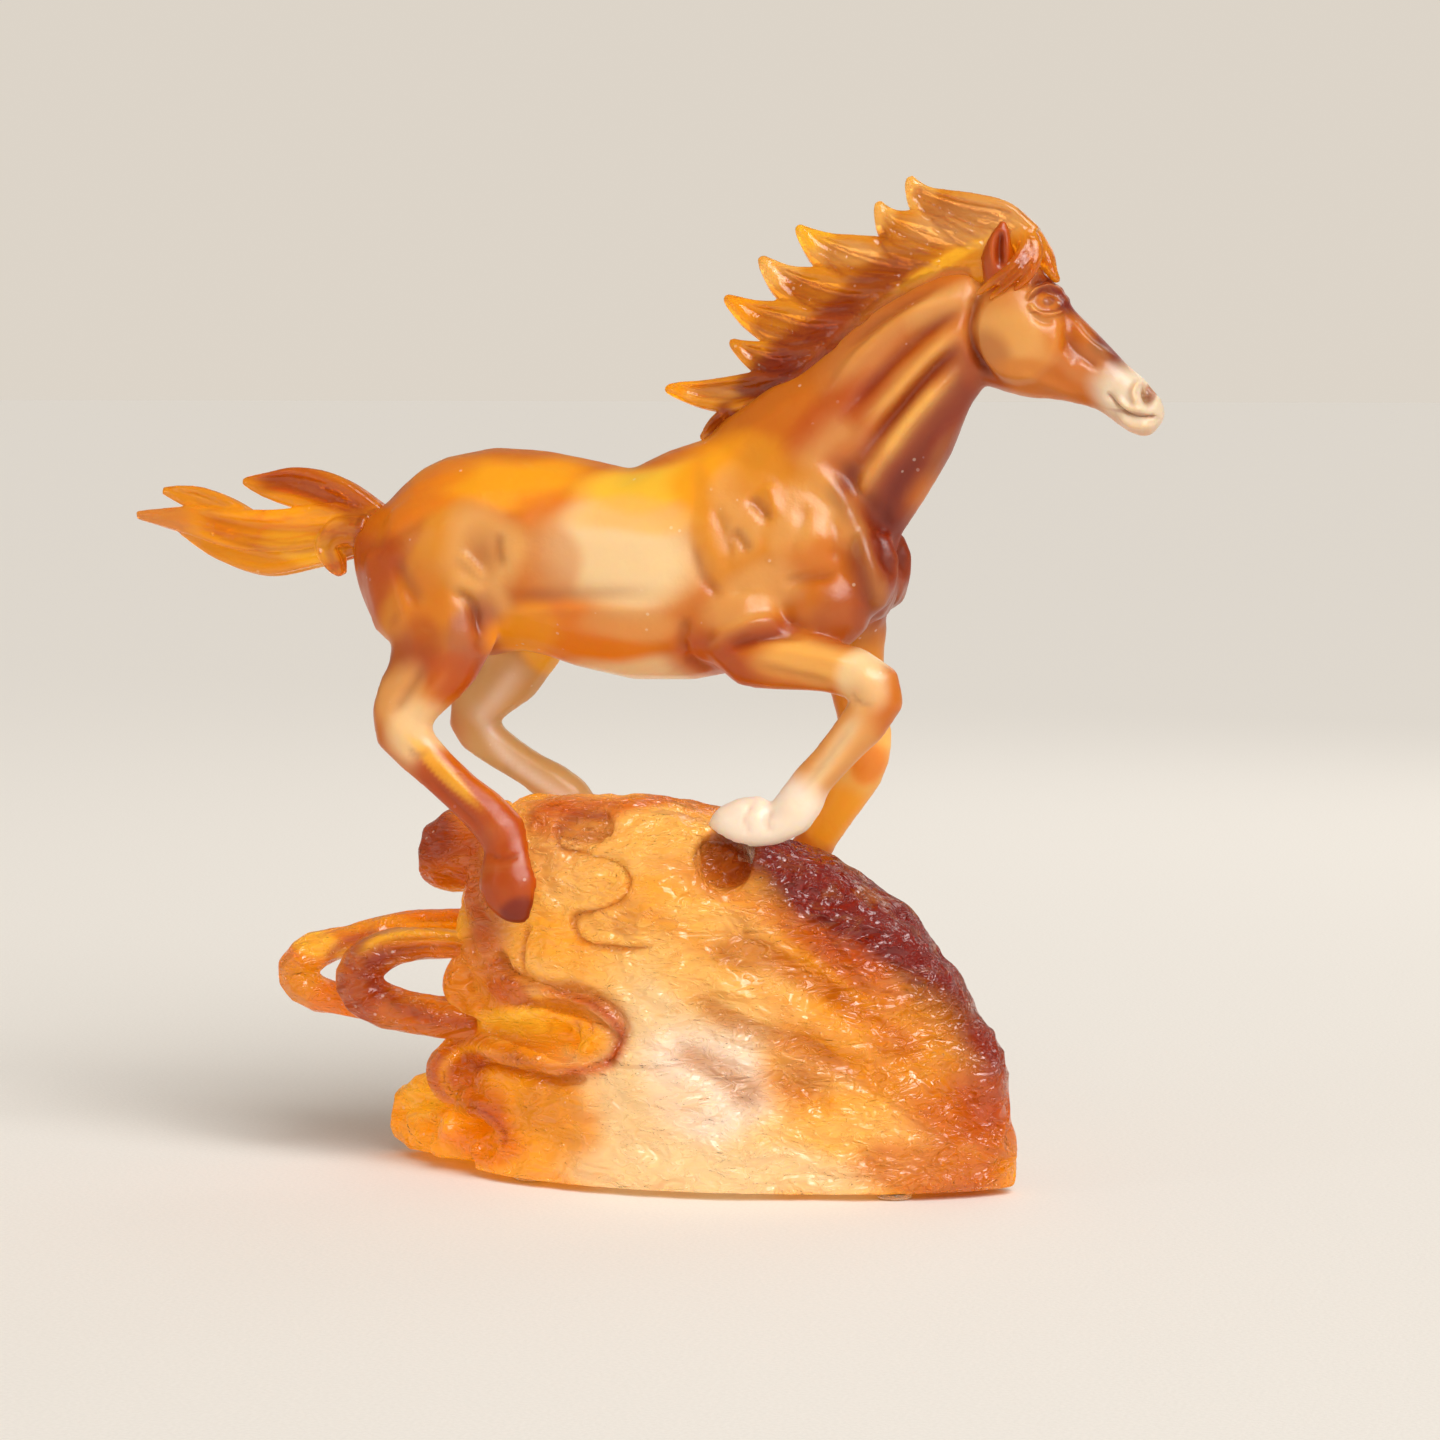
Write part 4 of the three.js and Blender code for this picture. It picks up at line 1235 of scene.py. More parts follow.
def bundle(
    path: tuple[tuple[float, float, float], ...], across: float, count: int, middle: float = 0.0
) -> list[Lock]:
    """A tuft made of a flat core and rounder strands that lie over it and meet at its tip.

    Args:
        path: points of (x, z, half height) from root to tip.
        across: the tuft's half thickness at the root.
        count: the number of strands on each face.
        middle: the Y of the tuft's middle.

    Returns:
        The core and its strands.
    """
    last = len(path) - 1
    rows = np.array(path, float)
    thin = [across * (1 - 0.7 * i / last) for i in range(len(path))]
    made = [Lock(tuple((x, middle, z, wide * 0.8, tall * 0.86) for (x, z, tall), wide in zip(path, thin)))]
    steps = np.gradient(rows[:, :2], axis=0)
    steps /= np.linalg.norm(steps, axis=1)[:, None]
    for side in (-1, 1):
        for k in range(count):
            place = (k + 0.5 + 0.18 * side) / count * 2 - 1
            strand = []
            for i, ((x, z, tall), (along, rise), wide) in enumerate(zip(path, steps, thin)):
                off = place * tall * 0.9
                y = middle + side * wide * (0.55 + 0.2 * math.sin(1.7 * k + 1.1 * i))
                strand.append((
                    x - rise * off, y, z + along * off, wide * 0.45, max(tall * 1.15 / count, 0.3),
                ))
            made.append(Lock(tuple(strand), 10))
    return made


@dataclass
class Hair(ABC):
    """A polished casting made of locks."""

    name: str
    node: str
    finish: GlassFinish
    # depth: how strong the painted shade in the grooves and the painted highlights on the ridges are.
    depth: float
    tuft_depth: float
    tuft_strands: int
    voxel: float = 0.55
    rounds: int = 3
    swell: float = 0.25

    @abstractmethod
    def locks(self) -> list[Lock]:
        """The tufts that make the casting."""

    @abstractmethod
    def strands(self) -> list[Strands]:
        """The families of hair that are cut into it."""

    @abstractmethod
    def clouds(self) -> list[Colouring]:
        """The colours that drift through it, with any painted shade and highlights."""

    def build(self) -> bpy.types.Object:
        """Shapes and tints the casting.

        Returns:
            The finished piece.
        """
        piece = cast(self.name, self.node, self.voxel, self.rounds, self.locks(), keep=False)
        clay = Clay(piece.data)
        clay.swell(self.swell)
        clay.work([stroke for family in self.strands() for stroke in family.strokes()])
        clay.tinted(Tint.GOLD, self.clouds(), self.depth)
        declare(piece, [self.node], self.finish.material())
        return piece


@dataclass
class Mane(Hair):
    """The casting of the mane and forelock."""

    name: str = "mane_casting"
    node: str = "mane"
    depth: float = 0.85
    tuft_depth: float = 4.6
    tuft_strands: int = 5
    finish: GlassFinish = GlassFinish(
        "polished_amber_glass", Surface.POLISHED, 0.7, (0.08, 0.2), 0.4, 0.12, 0.14
    )

    def locks(self) -> list[Lock]:
        """The tufts from the poll down to the withers, the root and the forelock."""
        tufts = [
            (
                (112, 271, 5), (104, 275.2, 7.2), (95, 276.4, 8.4), (87, 278.6, 7.6), (80.8, 283, 4.6),
                (78, 287, 2.4), (77.2, 289.6, 0.8),
            ),
            (
                (98, 268, 6), (88, 269.6, 8.6), (78, 272.6, 7.8), (71.8, 276, 5), (69, 280, 2.4),
                (68, 282.6, 0.8),
            ),
            (
                (86, 262, 7), (74, 262.8, 9.4), (62, 265, 8.4), (52.6, 268.8, 5.6), (46.8, 273.4, 2.6),
                (44.6, 276, 0.8),
            ),
            (
                (75, 256, 7), (62, 254.6, 9), (50, 256.4, 8), (41, 260, 5.2), (35.8, 264.6, 2.6),
                (33.8, 267.2, 0.8),
            ),
            (
                (64, 248, 7), (51, 246, 8.4), (40, 247.8, 7), (31.6, 250.6, 4.6), (26, 254, 2.4),
                (23.4, 256, 0.8),
            ),
            ((54, 240, 7), (42, 236.6, 7.4), (33.6, 238.6, 4.8), (27.4, 241.6, 2.2), (25, 243.4, 0.8)),
            ((44, 231, 6), (30, 228.2, 5.8), (18, 228, 4.2), (9.6, 229.2, 2.4), (5.8, 229.8, 0.9)),
            ((36, 224, 5), (28, 221.4, 5), (21.6, 218.2, 3.8), (17, 214.6, 1.8)),
        ]
        root = (
            (114, 0, 268, 4, 4), (107, 0, 270, 5, 7), (98, 0, 267, 5, 7.4), (86, 0, 263.4, 4.8, 6.4),
            (72, 0, 256, 4.8, 6.4), (58, 0, 247.4, 4.8, 6), (46, 0, 235.6, 4.8, 6),
            (36, 0, 226.4, 4.8, 5), (26, 0, 220.6, 4, 4),
        )
        made = [strand for tuft in tufts for strand in bundle(tuft, self.tuft_depth, self.tuft_strands)]
        made.append(Lock(root, 16))
        temple = (
            (109, 2.4, 274, 2.4, 4), (113.4, 4.4, 270, 2.2, 2.6), (114, 6.6, 265, 1.8, 1.8),
            (112, 8.6, 260.6, 1.1, 1.2), (109, 9.6, 257.6, 0.6, 0.6),
        )
        forelock = [
            *[tuple((x, y * side, z, across, tall) for x, y, z, across, tall in temple) for side in (-1, 1)],
            (
                (109, -3.4, 273, 2, 3.4), (111.6, -6.4, 269.4, 1.9, 2.2), (109, -9, 264.6, 1.6, 1.7),
                (104, -10.4, 260.4, 1.2, 1.3), (98.6, -10.2, 256.6, 0.6, 0.6),
            ),
            (
                (110, -3.4, 272, 2, 3), (112.6, -7, 267.6, 1.6, 1.8), (110.4, -9.6, 263, 1.4, 1.4),
                (106.4, -10.8, 258.6, 1, 1.1), (102.4, -10.8, 255.4, 0.5, 0.5),
            ),
            (
                (112, 0, 272, 3.4, 3.6), (116, 0, 267, 3, 2.6), (118, -1, 263, 2, 1.6),
                (120, -1.6, 260, 0.8, 0.8),
            ),
        ]
        return made + [Lock(path) for path in forelock]

    def strands(self) -> list[Strands]:
        """The families of hair, from the poll down to the withers."""
        return [
            Strands(
                ((112, 278), (103, 281), (93, 282.5), (84, 285), (79, 288)),
                ((96, 267), (90, 271), (84.6, 276), (79.6, 282), (77.6, 287)), 8,
            ),
            Strands(
                ((92, 271), (82, 274), (74, 277.5), (69, 281)),
                ((86, 264), (77, 265), (70, 268), (68, 275)), 6,
            ),
            Strands(
                ((86, 265), (74, 266), (62, 269), (47, 275)),
                ((73, 257), (64, 257.5), (57, 261), (50, 268)), 7,
            ),
            Strands(
                ((72, 257), (60, 257.5), (48, 261), (36, 266.5)),
                ((65, 250), (56, 250), (48, 252), (40, 259)), 7,
            ),
            Strands(
                ((62, 249), (50, 249), (40, 251.5), (26, 255.4)),
                ((56, 243), (46, 241.6), (37, 242.6), (31, 247)), 6,
            ),
            Strands(
                ((55, 243), (45, 241), (36, 240.6), (27, 242.4)),
                ((48, 236), (40, 234), (34, 235), (29, 240)), 4,
            ),
            Strands(
                ((46, 235), (36, 232.4), (25, 231.4), (9, 229.6)),
                ((40, 228), (30, 226), (22, 226), (12, 227.6)), 5,
            ),
            Strands(
                ((40, 229), (32, 226), (25, 222), (18, 216)),
                ((34, 224), (28, 220), (22, 217), (17, 214)), 3,
            ),
            Strands(
                ((112, 272), (110, 266), (105, 261), (98, 256)),
                ((114, 268), (113, 262), (109, 258), (104, 255)), 3, 0.7, -0.5,
            ),
        ]

    def clouds(self) -> list[Colouring]:
        """The colours of the mane, with painted highlights on its strands."""
        return [
            # The tan clouds are painted highlights on the strands.
            Cloud((96, 277), (18, 7), Tint.TAN, 0.9, 10),
            Cloud((60, 268.6), (10, 3), Tint.TAN, 0.8, -10),
            Cloud((48, 259), (10, 3), Tint.GOLD, 0.8, -10),
            Cloud((22, 228.6), (9, 2.4), Tint.TAN, 0.9),
            Cloud((80, 285), (6, 6), Tint.HONEY, 0.8),
            Cloud((69, 279), (5, 4), Tint.HONEY, 0.8),
            Cloud((48, 273), (7, 4), Tint.SUN, 0.8),
            Cloud((38, 264), (7, 4), Tint.HONEY, 0.8),
            Cloud((28, 253), (6, 4), Tint.MARIGOLD, 0.8),
            Cloud((12, 229), (8, 3), Tint.MARIGOLD, 0.7),
            Cloud((64, 256), (18, 6), Tint.RUST, 0.7, 38),
            Cloud((48, 243), (16, 7), Tint.RUST, 0.8, 42),
            Cloud((36, 230), (14, 7), Tint.OXBLOOD, 0.8, 42),
            Cloud((24, 219), (9, 6), Tint.OXBLOOD, 0.85, 40),
            Cloud((86, 264), (16, 1.8), Tint.SUN, 0.65, 30),
            Streak(((84, 261), (72, 251), (60, 243), (48, 233), (38, 223)), 3, Tint.OXBLOOD, 0.8),
            Cloud((57, 268), (8, 3), Tint.HONEY, 0.8, -10),
            Cloud((20, 228), (8, 2), Tint.HONEY, 0.8),
            Cloud((31, 225), (6, 2), Tint.GOLD, 0.8),
            Cloud((110, 264), (9, 9), Tint.AMBER, 0.8),
        ]


@dataclass
class Tail(Hair):
    """The casting of the streaming tail."""

    name: str = "tail_casting"
    node: str = "tail"
    depth: float = 0.8
    tuft_depth: float = 5.2
    tuft_strands: int = 4
    root: float = -79.0
    finish: GlassFinish = GlassFinish(
        "polished_tail_glass", Surface.POLISHED, 0.75, (0.08, 0.18), 0.4, 0.12, 0.16
    )

    def locks(self) -> list[Lock]:
        """The tufts that stream from the rump, with X measured from the tail's root."""
        tufts = [
            ((-1, 190, 5), (-15, 198, 6), (-27, 200.4, 6), (-37, 201.2, 3.6), (-44, 202.4, 0.9)),
            (
                (-1, 188, 6), (-15, 189.6, 6.6), (-31, 187.6, 6.4), (-46, 188, 6), (-59, 190.4, 4.4),
                (-70, 191.6, 2.4), (-77, 192.2, 1.1),
            ),
            ((-40, 187, 4.6), (-50, 192.4, 5), (-58, 196.4, 4), (-65, 198.4, 2.4), (-70, 199.4, 0.9)),
            ((-10, 185, 4.4), (-24, 181.6, 4.6), (-38, 179.6, 5), (-52, 183, 4), (-64, 188, 1.6)),
            ((-4, 188, 4.4), (-12, 188, 4.2), (-16.6, 184, 3.6), (-14.6, 179, 2.8), (-12.4, 175.4, 1.1)),
        ]
        drift = (0.0, -1.0, 2.2, 1.6, -4.2)
        made = []
        for tuft, middle in zip(tufts, drift):
            path = tuple((self.root + x, z, tall) for x, z, tall in tuft)
            made += bundle(path, self.tuft_depth, self.tuft_strands, middle)
        return made

    def strands(self) -> list[Strands]:
        """The families of hair in the tail."""
        return [
            Strands(
                ((-80, 193), (-93, 200), (-108, 205), (-122, 203)),
                ((-82, 189), (-96, 195), (-109, 199), (-121, 199)), 5,
            ),
            Strands(
                ((-86, 190), (-104, 190), (-122, 191), (-138, 194)),
                ((-92, 184), (-108, 181), (-124, 184), (-140, 190)), 6,
            ),
        ]

    def clouds(self) -> list[Colouring]:
        """The colours of the tail."""
        return [
            Cloud((-100, 201), (22, 5), Tint.BURNT, 0.8, -14),
            Cloud((-112, 190), (24, 6), Tint.MARIGOLD, 0.9),
            Cloud((-104, 184), (12, 5), Tint.SUN, 0.7),
            Cloud((-148, 191), (10, 5), Tint.CLAY, 0.7),
            Cloud((-88, 184), (10, 8), Tint.RUST, 0.6),
        ]


@dataclass
class Rock:
    """The hammered wave rock with its scrolls and hollows."""

    voxel: float = 0.88
    rounds: int = 4
    swell: float = 0.2
    sole: float = 3.2
    waves: tuple[tuple[float, ...], ...] = ((3.0, 17, 1.9, 24), (1.8, 6.4, 1.8, 24, 0.8))
    finish: GlassFinish = GlassFinish(
        "amber_rock_glass", Surface.HAMMERED, 0.45, (0.06, 0.14), 0.8, 0.16, 0.26
    )

    def lips(self) -> list[Lip]:
        """The rolled rims of the wave scroll at the rock's near left."""
        return [
            Lip((
                (-49, 88, 3), (-48, 80, 3.2), (-45, 73, 3), (-43, 66, 2.8), (-40, 60.6, 2.6),
                (-31, 58, 2.3), (-20, 57.2, 2.1), (-9, 55.2, 2), (-1.6, 50.6, 1.9), (0.6, 45, 1.8),
                (-2.6, 39, 1.9), (-10, 35.8, 2.2), (-20, 35.4, 2.6), (-32, 37.6, 3), (-43, 39, 3.6),
                (-52, 37.8, 4.4), (-58, 33, 5), (-58.6, 27, 4.8), (-54, 22.4, 4.2), (-46, 21.4, 3.6),
                (-40, 19, 3), (-37, 14.6, 2.6), (-39, 9, 2.2),
            )),
            Lip((
                (-46, 92, 3.4), (-50, 84, 4), (-51, 76, 4.4), (-50, 68, 4.2), (-46, 62, 3.4),
                (-42, 57.6, 2.6), (-36, 55, 1.8),
            )),
            Lip(
                (
                    (-36, 50, 2.2), (-27, 51.4, 1.6), (-16, 50.8, 1.5), (-9, 48, 1.4), (-7.6, 44.6, 1.3),
                    (-11, 41.4, 1.4), (-20, 40, 1.6),
                ),
                0.1,
            ),
            Lip(((-50, 64, 4), (-54, 58, 4.6), (-53, 52, 4), (-46, 49.6, 3))),
            Lip(((-60, 14, 4), (-52, 12, 4), (-46, 8, 3.4))),
        ]

    def marks(self) -> list[Mark]:
        """The wave lines and discs on the rock's faces."""
        near = Side.NEAR
        keen = Edge.KEEN
        scroll = (
            (-20, 108), (-21, 103), (-19, 99), (-11.7, 97.4), (-3.4, 96.4), (1.5, 93.3), (2.8, 89.3),
            (-0.1, 84.6), (-6.8, 82), (-12.6, 80.8), (-14.7, 77.5), (-12.6, 74), (-7.6, 72.2),
            (3.2, 71.6), (12, 72),
        )
        around = (
            (-33.9, 76), (-35.6, 69.2), (-35.6, 63.5), (-32.2, 59.5), (-25.5, 57.7), (-15.5, 56.8),
            (-7.1, 54.6), (-2.1, 49.9), (-0.4, 45.1),
        )
        rim = self.lips()[0].path[3:]
        inner = self.lips()[2].path
        return [
            Stroke(tuple((x + 0.9 * r, z + 1.2 * r) for x, z, r in rim[:8]), 1.3, -2.8, near, keen, 0.1),
            Stroke(tuple((x + 0.2 * r, z - 1.4 * r) for x, z, r in rim[8:13]), 1.3, -2.8, near, keen, 0.1),
            Stroke(tuple((x - 0.6 * r, z - 1.6 * r) for x, z, r in rim[2:8]), 1.3, -2.6, near, taper=0.1),
            Stroke(tuple((x, z) for x, z, r in rim[13:]), 0.7, -1.3, near, keen, 0.1),
            Stroke(tuple((x - 0.4, z + 0.9) for x, z, r in rim[:9]), 0.7, -1.0, near, keen, 0.1),
            Stroke(tuple((x, z + 1.2 * r) for x, z, r in inner[:5]), 0.8, -1.4, near, keen, 0.1),
            Stroke(scroll, 1.1, -3.2, near, keen, 0.08),
            Stroke(tuple((x - 1.8, z + 1.4) for x, z in scroll), 1.3, 1.0, near, taper=0.1),
            Stroke(tuple((x + 4.6, z + 1.6) for x, z in around), 1.0, -1.6, near, keen, 0.1),
            Dab((-11.5, 104.6), (8.6, 5.6), -2.6, 0, near, Edge.FLAT),
            Dab((-9, 104), (3, 2.4), 0.8, 0, near),
            Dab((29.6, 97.5), (8.4, 8), -3.2, 0, near, Edge.FLAT),
            Dab((2, 78), (4.4, 4), -0.5, 0, near, Edge.FLAT),
            Stroke(((-21.1, 51.5), (-18.6, 46.6), (-21.1, 41.7)), 0.8, -0.9, near, keen),
            Stroke(((-15.2, 52.1), (-12.3, 46.9), (-15.2, 40.3)), 0.8, -0.9, near, keen),
            Stroke(((-27, 51), (-24.6, 46.6), (-27, 42)), 0.8, -0.7, near, keen),
            Stroke(((18, 61), (34, 52), (56, 44), (76, 30)), 4, -1.6, near),
            Stroke(((22, 67), (38, 58), (60, 50), (80, 36)), 4, 1.4, near),
            Stroke(((28, 80), (50, 66), (72, 54)), 4, -1.3, near),
            Stroke(((12, 44), (30, 36), (44, 24)), 5, -1.4, near),
            Dab((52, 34), (10, 7), -1.6, -24, near),
            Dab((34, 70), (9, 5), -1.4, -24, near),
            Dab((20, 30), (12, 9), 1.4, 0, near),
            Stroke(((-30, 90), (0, 80), (40, 76), (74, 56)), 5, -1.2, Side.FAR),
            Stroke(((-30, 60), (0, 48), (40, 46), (84, 26)), 5, -1.2, Side.FAR),
        ]

    def clouds(self) -> list[Colouring]:
        """The colours of the rock."""
        rim = tuple((x, z) for x, z, radius in self.lips()[0].path)
        return [
            Cloud((0, 70), (60, 40), Tint.HONEY, 0.6),
            Cloud((-16, 100), (20, 14), Tint.TAN, 0.8),
            Cloud((-2, 110), (28, 3), Tint.BURNT, 0.8),
            Cloud((8, 96), (20, 12), Tint.HONEY, 0.9),
            Cloud((12, 84), (20, 6), Tint.MARIGOLD, 0.7, -16),
            Cloud((30, 78), (16, 7), Tint.HONEY, 0.9, -20),
            Cloud((-8, 70), (24, 22), Tint.HONEY, 0.8),
            Cloud((20, 34), (34, 32), Tint.CREAM, 0.9),
            Cloud((26, 34), (18, 16), Tint.PEARL, 0.95),
            Cloud((34, 60), (26, 10), Tint.HONEY, 0.8, -24),
            Cloud((62, 84), (36, 12), Tint.GARNET, 1.0, -36),
            Cloud((92, 58), (32, 11), Tint.GARNET, 1.0, -60),
            Cloud((100, 34), (16, 8), Tint.OXBLOOD, 0.9, -75),
            Cloud((66, 66), (28, 6), Tint.BURNT, 0.8, -38),
            Cloud((58, 64), (16, 4), Tint.MARIGOLD, 0.7, -34),
            Cloud((80, 44), (20, 14), Tint.GOLD, 0.85, -40),
            Cloud((72, 50), (14, 5), Tint.BURNT, 0.6, -34),
            Cloud((60, 30), (18, 10), Tint.MARIGOLD, 0.6, -20),
            Cloud((58, 40), (14, 16), Tint.MARIGOLD, 0.7, -30),
            Cloud((94, 16), (18, 20), Tint.BURNT, 0.8),
            Cloud((68, 16), (22, 12), Tint.HONEY, 0.8),
            Cloud((20, 8), (60, 8), Tint.CREAM, 0.8),
            Cloud((-40, 18), (26, 22), Tint.MARIGOLD, 0.9),
            Cloud((-70, 14), (16, 18), Tint.MARIGOLD, 0.9),
            Cloud((-76, 20), (9, 8), Tint.SUN, 0.7),
            Cloud((-54, 32), (12, 9), Tint.BURNT, 0.85),
            Cloud((-44, 22), (8, 8), Tint.BURNT, 0.6),
            Cloud((-30, 46), (26, 8), Tint.MARIGOLD, 0.9),
            Cloud((-50, 60), (16, 16), Tint.AMBER, 0.7),
            Cloud((-26, 47), (22, 5), Tint.SUN, 0.9),
            Cloud((-14, 46), (9, 8), Tint.MARIGOLD, 0.9),
            Cloud((-46, 84), (12, 14), Tint.PLUM, 0.7),
            Cloud((-62, 93), (16, 14), Tint.BURNT, 0.9),
            Cloud((-66, 98), (9, 8), Tint.OXBLOOD, 0.7),
            Cloud((-60, 76), (10, 8), Tint.SUN, 0.7),
            Cloud((30, 97), (9, 8), Tint.OXBLOOD, 0.8),
            Cloud((-24, 107), (8, 5), Tint.BURNT, 0.8),
            Cloud((6, 108), (8, 3), Tint.HONEY, 0.9),
            Cloud((58, 36), (12, 5), Tint.HONEY, 0.8, -20),
            Cloud((-20, 22), (14, 10), Tint.GOLD, 0.8),
            Cloud((84, 10), (16, 8), Tint.AMBER, 0.8),
            Cloud((-46, 10), (14, 5), Tint.ORANGE, 0.9),
            Cloud((-36, 56), (8, 4), Tint.BURNT, 0.8),
            Cloud((-20, 72), (12, 8), Tint.MARIGOLD, 0.6),
            Streak(((8, 100), (34, 86), (58, 70)), 3.5, Tint.AMBER, 0.5),
            Streak(((-10, 88), (16, 78), (44, 60), (60, 52)), 3.0, Tint.GOLD, 0.6),
            Streak(((40, 56), (62, 46), (84, 30)), 3.5, Tint.AMBER, 0.5),
            Streak(rim[:6], 5, Tint.RUST, 0.6, Side.NEAR),
            Streak(rim[5:14], 2.2, Tint.BURNT, 0.9, Side.NEAR),
            Streak(rim[12:18], 5, Tint.RUST, 0.7, Side.NEAR),
            Streak(rim[16:], 4, Tint.BURNT, 0.8, Side.NEAR),
            Streak(rim[13:20], 1.6, Tint.MARIGOLD, 0.7, Side.NEAR),
        ]

    def build(self) -> bpy.types.Object:
        """Shapes and tints the rock, and keeps the sole under it flat.

        Returns:
            The finished piece.
        """
        piece = cast("wave_rock", "rock_mount", self.voxel, self.rounds, lips=self.lips())
        clay = Clay(piece.data)
        flat = clay.points[:, 2] < self.sole
        level = clay.points[flat, 2].copy()
        clay.swell(self.swell)
        clay.work(self.marks())
        for wave in self.waves:
            clay.ripple(*wave)
        clay.points[flat, 2] = level
        clay.write()
        # 0.7 sets the painted shade in the rock's grooves and the painted highlights on its ridges.
        clay.tinted(Tint.MARIGOLD, self.clouds(), 0.7)
        declare(piece, ["rock_mount"], self.finish.material())
        return piece


@dataclass
class WaveLoop:
    """One hairpin loop of the wave."""

    name: str
    node: str
    base: Tint
    crest: float
    clouds: list[Colouring]
    voxel: float = 0.55
    rounds: int = 8
    wave: tuple[float, float, float] = (0.5, 5, 1.4)
    finish: GlassFinish = GlassFinish(
        "amber_loop_glass", Surface.HAMMERED, 0.5, (0.06, 0.14), 0.8, 0.16, 0.26
    )

    def seams(self) -> list[Mark]:
        """The two grooves that run along the loop's upper strand, about its crest's height."""
        levels = [self.crest + off for off in (-1.6, 1.8)]
        return [Stroke(((-36, z), (-60, z + 0.4), (-80, z - 1.6)), 0.8, -1.1) for z in levels]

    def build(self) -> bpy.types.Object:
        """Shapes and tints the loop.

        Returns:
            The finished piece.
        """
        piece = cast(self.name, self.node, self.voxel, self.rounds)
        clay = Clay(piece.data)
        clay.work(self.seams())
        clay.ripple(*self.wave)
        clay.tinted(self.base, self.clouds)
        declare(piece, [self.node], self.finish.material())
        return piece


def wave_loops() -> list[WaveLoop]:
    """The near loop and the far loop, which leave the rock's end one behind the other."""
    near = [
        Cloud((-84, 56), (8, 14), Tint.RUST, 0.8),
        Streak(((-60, 66), (-74, 65), (-81, 61), (-80, 55), (-72, 51), (-58, 48)), 2.4, Tint.OXBLOOD, 0.8),
        Streak(((-40, 70.6), (-60, 71), (-76, 70), (-86, 64)), 1.6, Tint.SUN, 0.8),
        Streak(((-40, 45), (-60, 46), (-74, 49)), 2.2, Tint.RUST, 0.7),
    ]
    far = [
        Cloud((-104, 66), (12, 4), Tint.SUN, 0.8, -20),
        Cloud((-110, 54), (8, 8), Tint.GOLD, 0.9),
        Cloud((-76, 71), (26, 3), Tint.MARIGOLD, 0.7),
        Streak(((-70, 70), (-88, 68), (-98, 62), (-97, 55), (-88, 50)), 1.8, Tint.RUST, 0.8),
    ]
    return [
        WaveLoop("loop_near", "wave_loop_front", Tint.AMBER, 68.6, near),
        WaveLoop("loop_far", "wave_loop_rear", Tint.ORANGE, 72, far),
    ]


@dataclass
class Bumpers:
    """The four clear bumpers under the rock."""

    places: tuple[tuple[str, float, float], ...] = (
        ("bumper_front_right", *BUMPER_DRAWN),
        ("bumper_rear_right", 77, 16.5),
        ("bumper_front_left", -32, -12),
        ("bumper_rear_left", -32, 22),
    )
    radius: float = 5.0
    height: float = 2.0
    finish: ClearFinish = ClearFinish("clear_bumper", (0.96, 0.96, 0.94), 0.08)

    def bumper(self, node: str, x: float, y: float, material: bpy.types.Material) -> bpy.types.Object:
        """Turns one bumper from its half profile.

        Args:
            node: the CAD node that it replaces.
            x, y: its place in drawn millimetres.
            material: its material.

        Returns:
            The finished piece.
        """
        bm = bmesh.new()
        wide, tall = self.radius * MM, self.height * MM
        profile = [
            (0.0, 0.0), (0.5 * wide, 0.0), (0.72 * wide, 0.02 * tall), (0.88 * wide, 0.1 * tall),
            (
                0.97 * wide, 0.26 * tall,
            ), (wide, 0.48 * tall), (wide, 0.9 * tall), (0.96 * wide, tall), (0.0, tall),
        ]
        verts = [bm.verts.new((r, 0, z)) for r, z in profile]
        edges = [bm.edges.new(pair) for pair in zip(verts, verts[1:])]
        bmesh.ops.spin(
            bm, geom=verts + edges, cent=(0, 0, 0), axis=(0, 0, 1), angle=math.tau, steps=40, use_merge=True
        )
        bmesh.ops.remove_doubles(bm, verts=bm.verts, dist=1e-6)
        bmesh.ops.recalc_face_normals(bm, faces=bm.faces)
        bmesh.ops.translate(bm, verts=bm.verts, vec=placed(x, y, 0))
        for face in bm.faces:
            face.smooth = abs(face.normal.z) < 0.99
        piece = settled(f"{node}_turned", bm)
        declare(piece, [node], material)
        return piece

    def build(self) -> list[bpy.types.Object]:
        """Makes the four bumpers.

        Returns:
            The finished pieces.
        """
        material = self.finish.material()
        return [self.bumper(node, x, y, material) for node, x, y in self.places]


@dataclass
class Bonds:
    """The clear adhesive films, which keep their CAD shape."""

    finish: ClearFinish = ClearFinish("clear_adhesive", (0.84, 0.56, 0.32), 0.15)

    def dress(self) -> None:
        """Gives every film its material."""
        material = self.finish.material()
        for name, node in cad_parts.items():
            if "bond" in name:
                node.data.materials.clear()
                node.data.materials.append(material)
                log.info("%s: dressed", name)


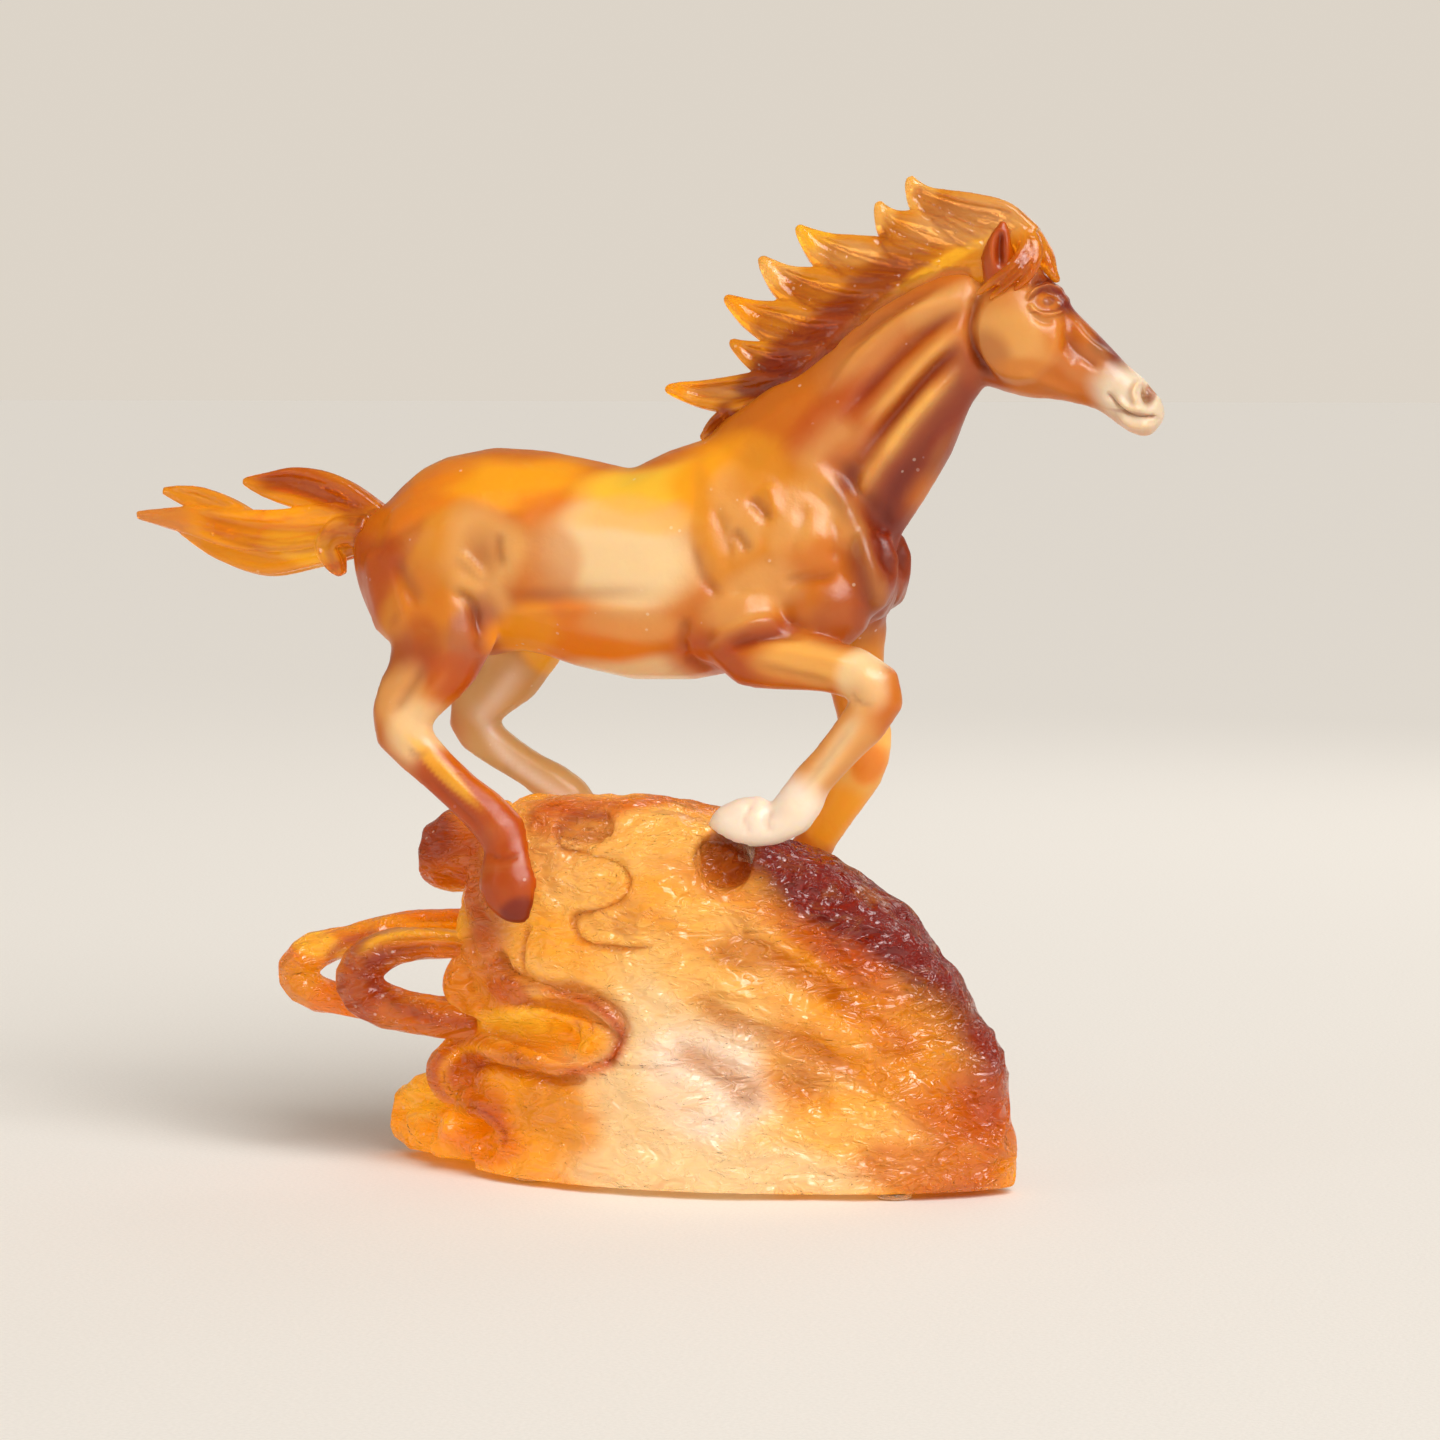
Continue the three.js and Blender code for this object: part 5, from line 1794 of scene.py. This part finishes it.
@dataclass
class Studio:
    """The camera, floor and soft lights."""

    eye: tuple[float, float, float] = (346.037, -1301.075, 236.0)
    target: tuple[float, float, float] = (20.376, 5.08, 134.0)
    lens: float = 116.4
    sensor: float = 36.0
    floor_span: float = 60.0
    room_light: float = 0.4
    room_tone: tuple[float, ...] = (0.72, 0.66, 0.58, 1.0)
    sky_strength: float = 2.8
    sky_spread: float = math.radians(46)
    sky_aim: tuple[float, float, float] = (-0.5, 0.58, -0.64)
    lamps: tuple[tuple, ...] = (
        ("key", (0.9, -0.9, 1.2), (0.3, 0.45), 3.0, (1.0, 0.97, 0.93)),
        ("fill", (-1.1, -1.1, 0.6), (0.3, 0.7), 1.0, (1.0, 0.98, 0.95)),
        ("back", (0.4, 1.3, 0.8), (1.0, 0.5), 2.0, (1.0, 0.98, 0.95)),
    )

    def camera(self) -> None:
        """Places the camera."""
        data = bpy.data.cameras.new("camera")
        data.lens = self.lens
        data.sensor_width = self.sensor
        data.clip_start = 0.01
        data.clip_end = 200
        eye = linked("camera", data)
        eye.location = placed(*self.eye)
        eye.rotation_euler = (placed(*self.target) - eye.location).to_track_quat("-Z", "Y").to_euler()
        bpy.context.scene.camera = eye

    def floor(self) -> None:
        """Lays the pale floor."""
        bm = bmesh.new()
        bmesh.ops.create_grid(bm, x_segments=8, y_segments=8, size=self.floor_span / 2)
        floor = settled("floor", bm)
        graph = Graph("pale_cloth")
        coords = graph.node("ShaderNodeTexCoord", {}, {}).out("Object")
        grain = graph.noise(coords, 900, 2)
        values = {
            "Base Color": graph.mixed(
                grain.between(0.3, 0.7), (0.86, 0.82, 0.76, 1.0), (0.9, 0.86, 0.8, 1.0),
            ),
            "Roughness": 0.85,
            "Normal": graph.bump(grain, 0.0002, 0.3),
        }
        floor.data.materials.append(graph.finish(graph.node("ShaderNodeBsdfPrincipled", {}, values)))

    def lamp(self, name: str, place: tuple, size: tuple[float, float], power: float, tone: tuple) -> None:
        """Hangs a soft light that faces the figurine.

        Args:
            name: its name.
            place: where it hangs, in metres.
            size: its width and height in metres.
            power: its power in watts.
            tone: its colour.
        """
        data = bpy.data.lights.new(name, "AREA")
        data.shape = "RECTANGLE"
        data.size, data.size_y = size
        data.energy = power
        data.color = tone
        lamp = linked(name, data)
        lamp.location = place
        lamp.rotation_euler = (Vector((0, 0, 0.15)) - Vector(place)).to_track_quat("-Z", "Y").to_euler()

    def sky(self) -> None:
        """Adds an even light from above, so that the floor is as bright far off as near."""
        data = bpy.data.lights.new("sky", "SUN")
        data.energy = self.sky_strength
        data.angle = self.sky_spread
        lamp = linked("sky", data)
        lamp.rotation_euler = Vector(self.sky_aim).to_track_quat("-Z", "Y").to_euler()

    def room(self) -> None:
        """Makes the room brighter to the eye and through the glass than for reflected light."""
        world = bpy.data.worlds.new("studio")
        world.use_nodes = True
        nodes, links = world.node_tree.nodes, world.node_tree.links
        shade = nodes["Background"]
        shade.inputs["Color"].default_value = self.room_tone
        rays = nodes.new("ShaderNodeLightPath")
        seen = nodes.new("ShaderNodeMath")
        seen.operation = "MAXIMUM"
        level = nodes.new("ShaderNodeMapRange")
        level.inputs["To Min"].default_value = self.room_light
        level.inputs["To Max"].default_value = 1.0
        links.new(rays.outputs["Is Camera Ray"], seen.inputs[0])
        links.new(rays.outputs["Is Transmission Ray"], seen.inputs[1])
        links.new(seen.outputs[0], level.inputs["Value"])
        links.new(level.outputs["Result"], shade.inputs["Strength"])
        bpy.context.scene.world = world

    def build(self) -> None:
        """Sets up the whole studio."""
        self.camera()
        self.floor()
        for lamp in self.lamps:
            self.lamp(*lamp)
        self.sky()
        self.room()
        bpy.context.scene.view_settings.view_transform = "Standard"


def main() -> None:
    """Builds the studio and every piece of the figurine."""
    logging.basicConfig(level=logging.INFO, format="%(message)s")
    Studio().build()
    Horse().build()
    Mane().build()
    Tail().build()
    Rock().build()
    for loop in wave_loops():
        loop.build()
    Bumpers().build()
    Bonds().dress()


if __name__ == "__main__":
    main()
